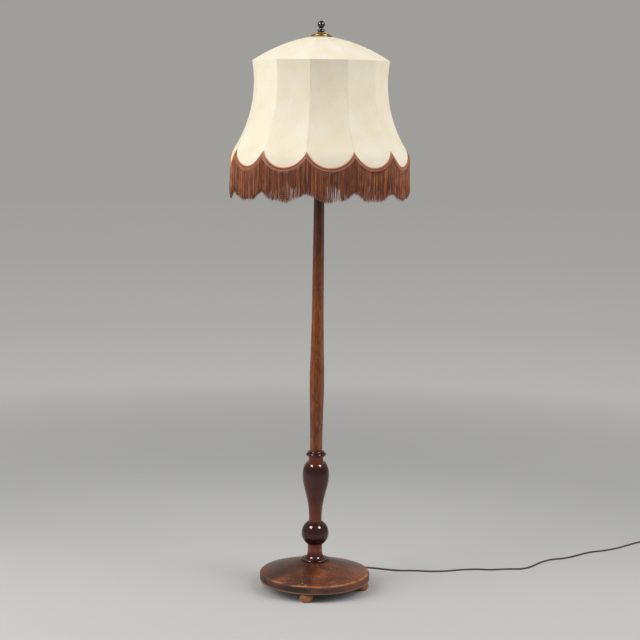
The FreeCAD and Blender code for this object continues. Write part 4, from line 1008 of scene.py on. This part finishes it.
# %% Assign finishes
finishes = {
    "base_wood": worn_base(),
    "foot_wood": grained_wood("wood, light, satin", "#7A4724", "#B57A48", 0.5, 0.1, (150, 150, 40)),
    "spindle_wood": polished_baluster(),
    "steel": worn_metal("steel, bare", "#6E6C69", "#A3A19D", 0.38, 120.0),
    "rubber": smooth_skin("rubber, brown", "#1E1613", "#2C211C", 0.6, 0.0, 160.0, 1.52),
    "brass": worn_metal("brass, aged", "#6E5230", "#B4905A", 0.36, 75.0),
    "porcelain": smooth_skin("porcelain, glazed", "#E9E6DC", "#F4F1E8", 0.15, 0.6, 60.0),
    "bakelite": smooth_skin("bakelite, dark brown", "#23120B", "#3A2015", 0.25, 0.4, 45.0, 1.6),
    "lamp_cap": worn_metal("brass, nickelled", "#9A968C", "#C9C5BA", 0.28, 110.0),
    "lamp_glass": smooth_skin("glass, opal", "#ECEAE2", "#F7F5EE", 0.12, 0.5, 30.0),
    "frame_wire": bound_wire(),
    "finial_metal": smooth_skin("metal, black lacquer", "#050807", "#0E1412", 0.12, 0.5, 70.0, 1.6),
    "flex": flex_finish,
}
for entry in frame["record"]["subparts"]:
    node = nodes[entry["node"]]
    if not node.hide_render and entry["material_slot"] in finishes:
        node.data.materials.clear()
        node.data.materials.append(finishes[entry["material_slot"]])

# %% [markdown]
# ## Floor, backdrop and light
#
# The floor is pale paper. A plain disc painted by its distance from the lamp looks the same from
# every side: near the lamp it takes light and shadow, and further out it turns to a grey that
# glows for the eye only, painted light that darkens with distance as a painted falloff, so no
# hard horizon shows behind the lamp. Five soft boxes light the lamp: a key and a side light on
# each hand, and one overhead for the dome. Two more, left and right of the camera, are only seen
# mirrored, and put the twin highlights on the polished wood.

# %% Floor
def seen_share(tree):
    """1 for a ray that shows a surface to the eye, straight, mirrored or through glass, else 0."""
    rays = add(tree, "ShaderNodeLightPath").outputs
    seen = rays["Is Camera Ray"]
    for kind in ("Is Glossy Ray", "Is Transmission Ray"):
        seen = add(tree, "ShaderNodeMath", {0: seen, 1: rays[kind]}, operation="MAXIMUM").outputs["Value"]
    return seen


def paper_floor():
    """Matt paper near the lamp, its colour a little darker further out as a painted falloff of light.
    Between 1.6 and 3.4 m from it the paper gives way to a backdrop that glows for the eye only and
    lights nothing: painted light, a little darker the further it is."""
    material, tree = blank("floor paper")
    place = add(tree, "ShaderNodeTexCoord").outputs["Object"]
    reach = add(tree, "ShaderNodeVectorMath", {0: place}, operation="LENGTH").outputs["Value"]
    near = add(tree, "ShaderNodeMapRange", {"Value": reach, "From Max": 12.0})
    # painted falloff of light: the paper is paler near the lamp and darker further out
    colour = add(tree, "ShaderNodeValToRGB", {"Fac": near.outputs["Result"]},
                 [(0.0, "#D8D7D4"), (0.10, "#D0CFCC"), (0.30, "#C0BFBC"), (1.0, "#B8B7B3")])
    paper = add(tree, "ShaderNodeBsdfPrincipled", {"Base Color": colour.outputs["Color"],
                                                   "Roughness": 0.9, "Specular IOR Level": 0.1})
    away = add(tree, "ShaderNodeMapRange", {"Value": reach, "From Min": 2.0, "From Max": 18.0})
    grey = add(tree, "ShaderNodeValToRGB", {"Fac": away.outputs["Result"]},
               [(0.0, "#BCBBB8"), (0.08, "#B4B3B0"), (0.23, "#ABAAA6"), (0.5, "#A3A29F"),
                (1.0, "#9F9E9A")])
    # painted light: the backdrop glows, darker the further it is
    even = add(tree, "ShaderNodeEmission", {"Color": grey.outputs["Color"]})
    far = add(tree, "ShaderNodeMapRange", {"Value": reach, "From Min": 1.6, "From Max": 3.4})
    share = add(tree, "ShaderNodeMath", {0: seen_share(tree), 1: far.outputs["Result"]},
                operation="MULTIPLY")
    blend = add(tree, "ShaderNodeMixShader", {0: share.outputs["Value"], 1: paper.outputs["BSDF"],
                                              2: even.outputs["Emission"]})
    add(tree, "ShaderNodeOutputMaterial", {"Surface": blend.outputs["Shader"]})
    return material


def floor_disc(radius=60.0, rings=24, columns=96):
    """Rings of points spaced by the square of their number, so that they crowd at the lamp."""
    reach = radius * (np.arange(1, rings + 1) / rings) ** 2
    angle = np.arange(columns) / columns * 2 * np.pi
    points = np.stack([reach[:, None] * np.cos(angle), reach[:, None] * np.sin(angle),
                       np.zeros((rings, columns))], axis=-1)
    uv = np.zeros((rings, columns + 1, 2))
    mesh = grid_mesh("floor", points, uv, around=True)
    shell = bmesh.new()
    shell.from_mesh(mesh)
    inner = [edge for edge in shell.edges if edge.is_boundary and edge.verts[0].co.length < 1]
    bmesh.ops.holes_fill(shell, edges=inner, sides=0)
    shell.to_mesh(mesh)
    shell.free()
    return mesh


floor = bpy.data.objects.new("floor", floor_disc())
floor.data.materials.append(paper_floor())
bpy.context.scene.collection.objects.link(floor)

# %% World and lamps
world = bpy.data.worlds.new("studio")
bpy.context.scene.world = world
world.use_nodes = True
sky = world.node_tree
sky.nodes.clear()
ambient = add(sky, "ShaderNodeBackground", {"Color": linear("#F4F6F8"), "Strength": 0.20})
backdrop = add(sky, "ShaderNodeBackground", {"Color": linear("#9F9E9A"), "Strength": 1.0})
choice = add(sky, "ShaderNodeMixShader", {0: seen_share(sky), 1: ambient.outputs["Background"],
                                          2: backdrop.outputs["Background"]})
add(sky, "ShaderNodeOutputWorld", {"Surface": choice.outputs["Shader"]})


def softbox(name, azimuth, elevation, distance, size, watts, aim_z, seen_in):
    """A flat lamp aimed at the lamp's axis. Azimuth is counted from the front towards +X. It
    either lights surfaces or is seen mirrored in polished ones."""
    light = bpy.data.lights.new(name, "AREA")
    light.shape = "RECTANGLE"
    light.size, light.size_y = size
    light.energy = watts
    lamp = bpy.data.objects.new(name, light)
    a, e = math.radians(azimuth), math.radians(elevation)
    way = np.array([math.sin(a) * math.cos(e), -math.cos(a) * math.cos(e), math.sin(e)])
    lamp.location = way * distance + np.array([0, 0, aim_z])
    lamp.rotation_euler = (math.pi / 2 - e, 0, a)
    lamp.visible_glossy = seen_in == "gloss"
    lamp.visible_diffuse = seen_in == "diffuse"
    bpy.context.scene.collection.objects.link(lamp)


softbox("key_left", -57, 42, 3.2, (1.4, 1.4), 27, 1.0, "diffuse")
softbox("key_right", 57, 42, 3.2, (1.4, 1.4), 28, 1.0, "diffuse")
softbox("side_left", -72, 14, 3.4, (2.6, 2.2), 62, 1.0, "diffuse")
softbox("side_right", 78, 14, 3.4, (2.6, 2.2), 42, 1.0, "diffuse")
softbox("overhead", 0, 88, 2.8, (2.4, 2.4), 16, 1.0, "diffuse")
softbox("gleam_left", -57, 41, 3.2, (1.3, 1.0), 95, 0.9, "gloss")
softbox("gleam_right", 57, 41, 3.2, (1.1, 1.0), 80, 0.9, "gloss")
bpy.context.scene.view_settings.view_transform = "Standard"
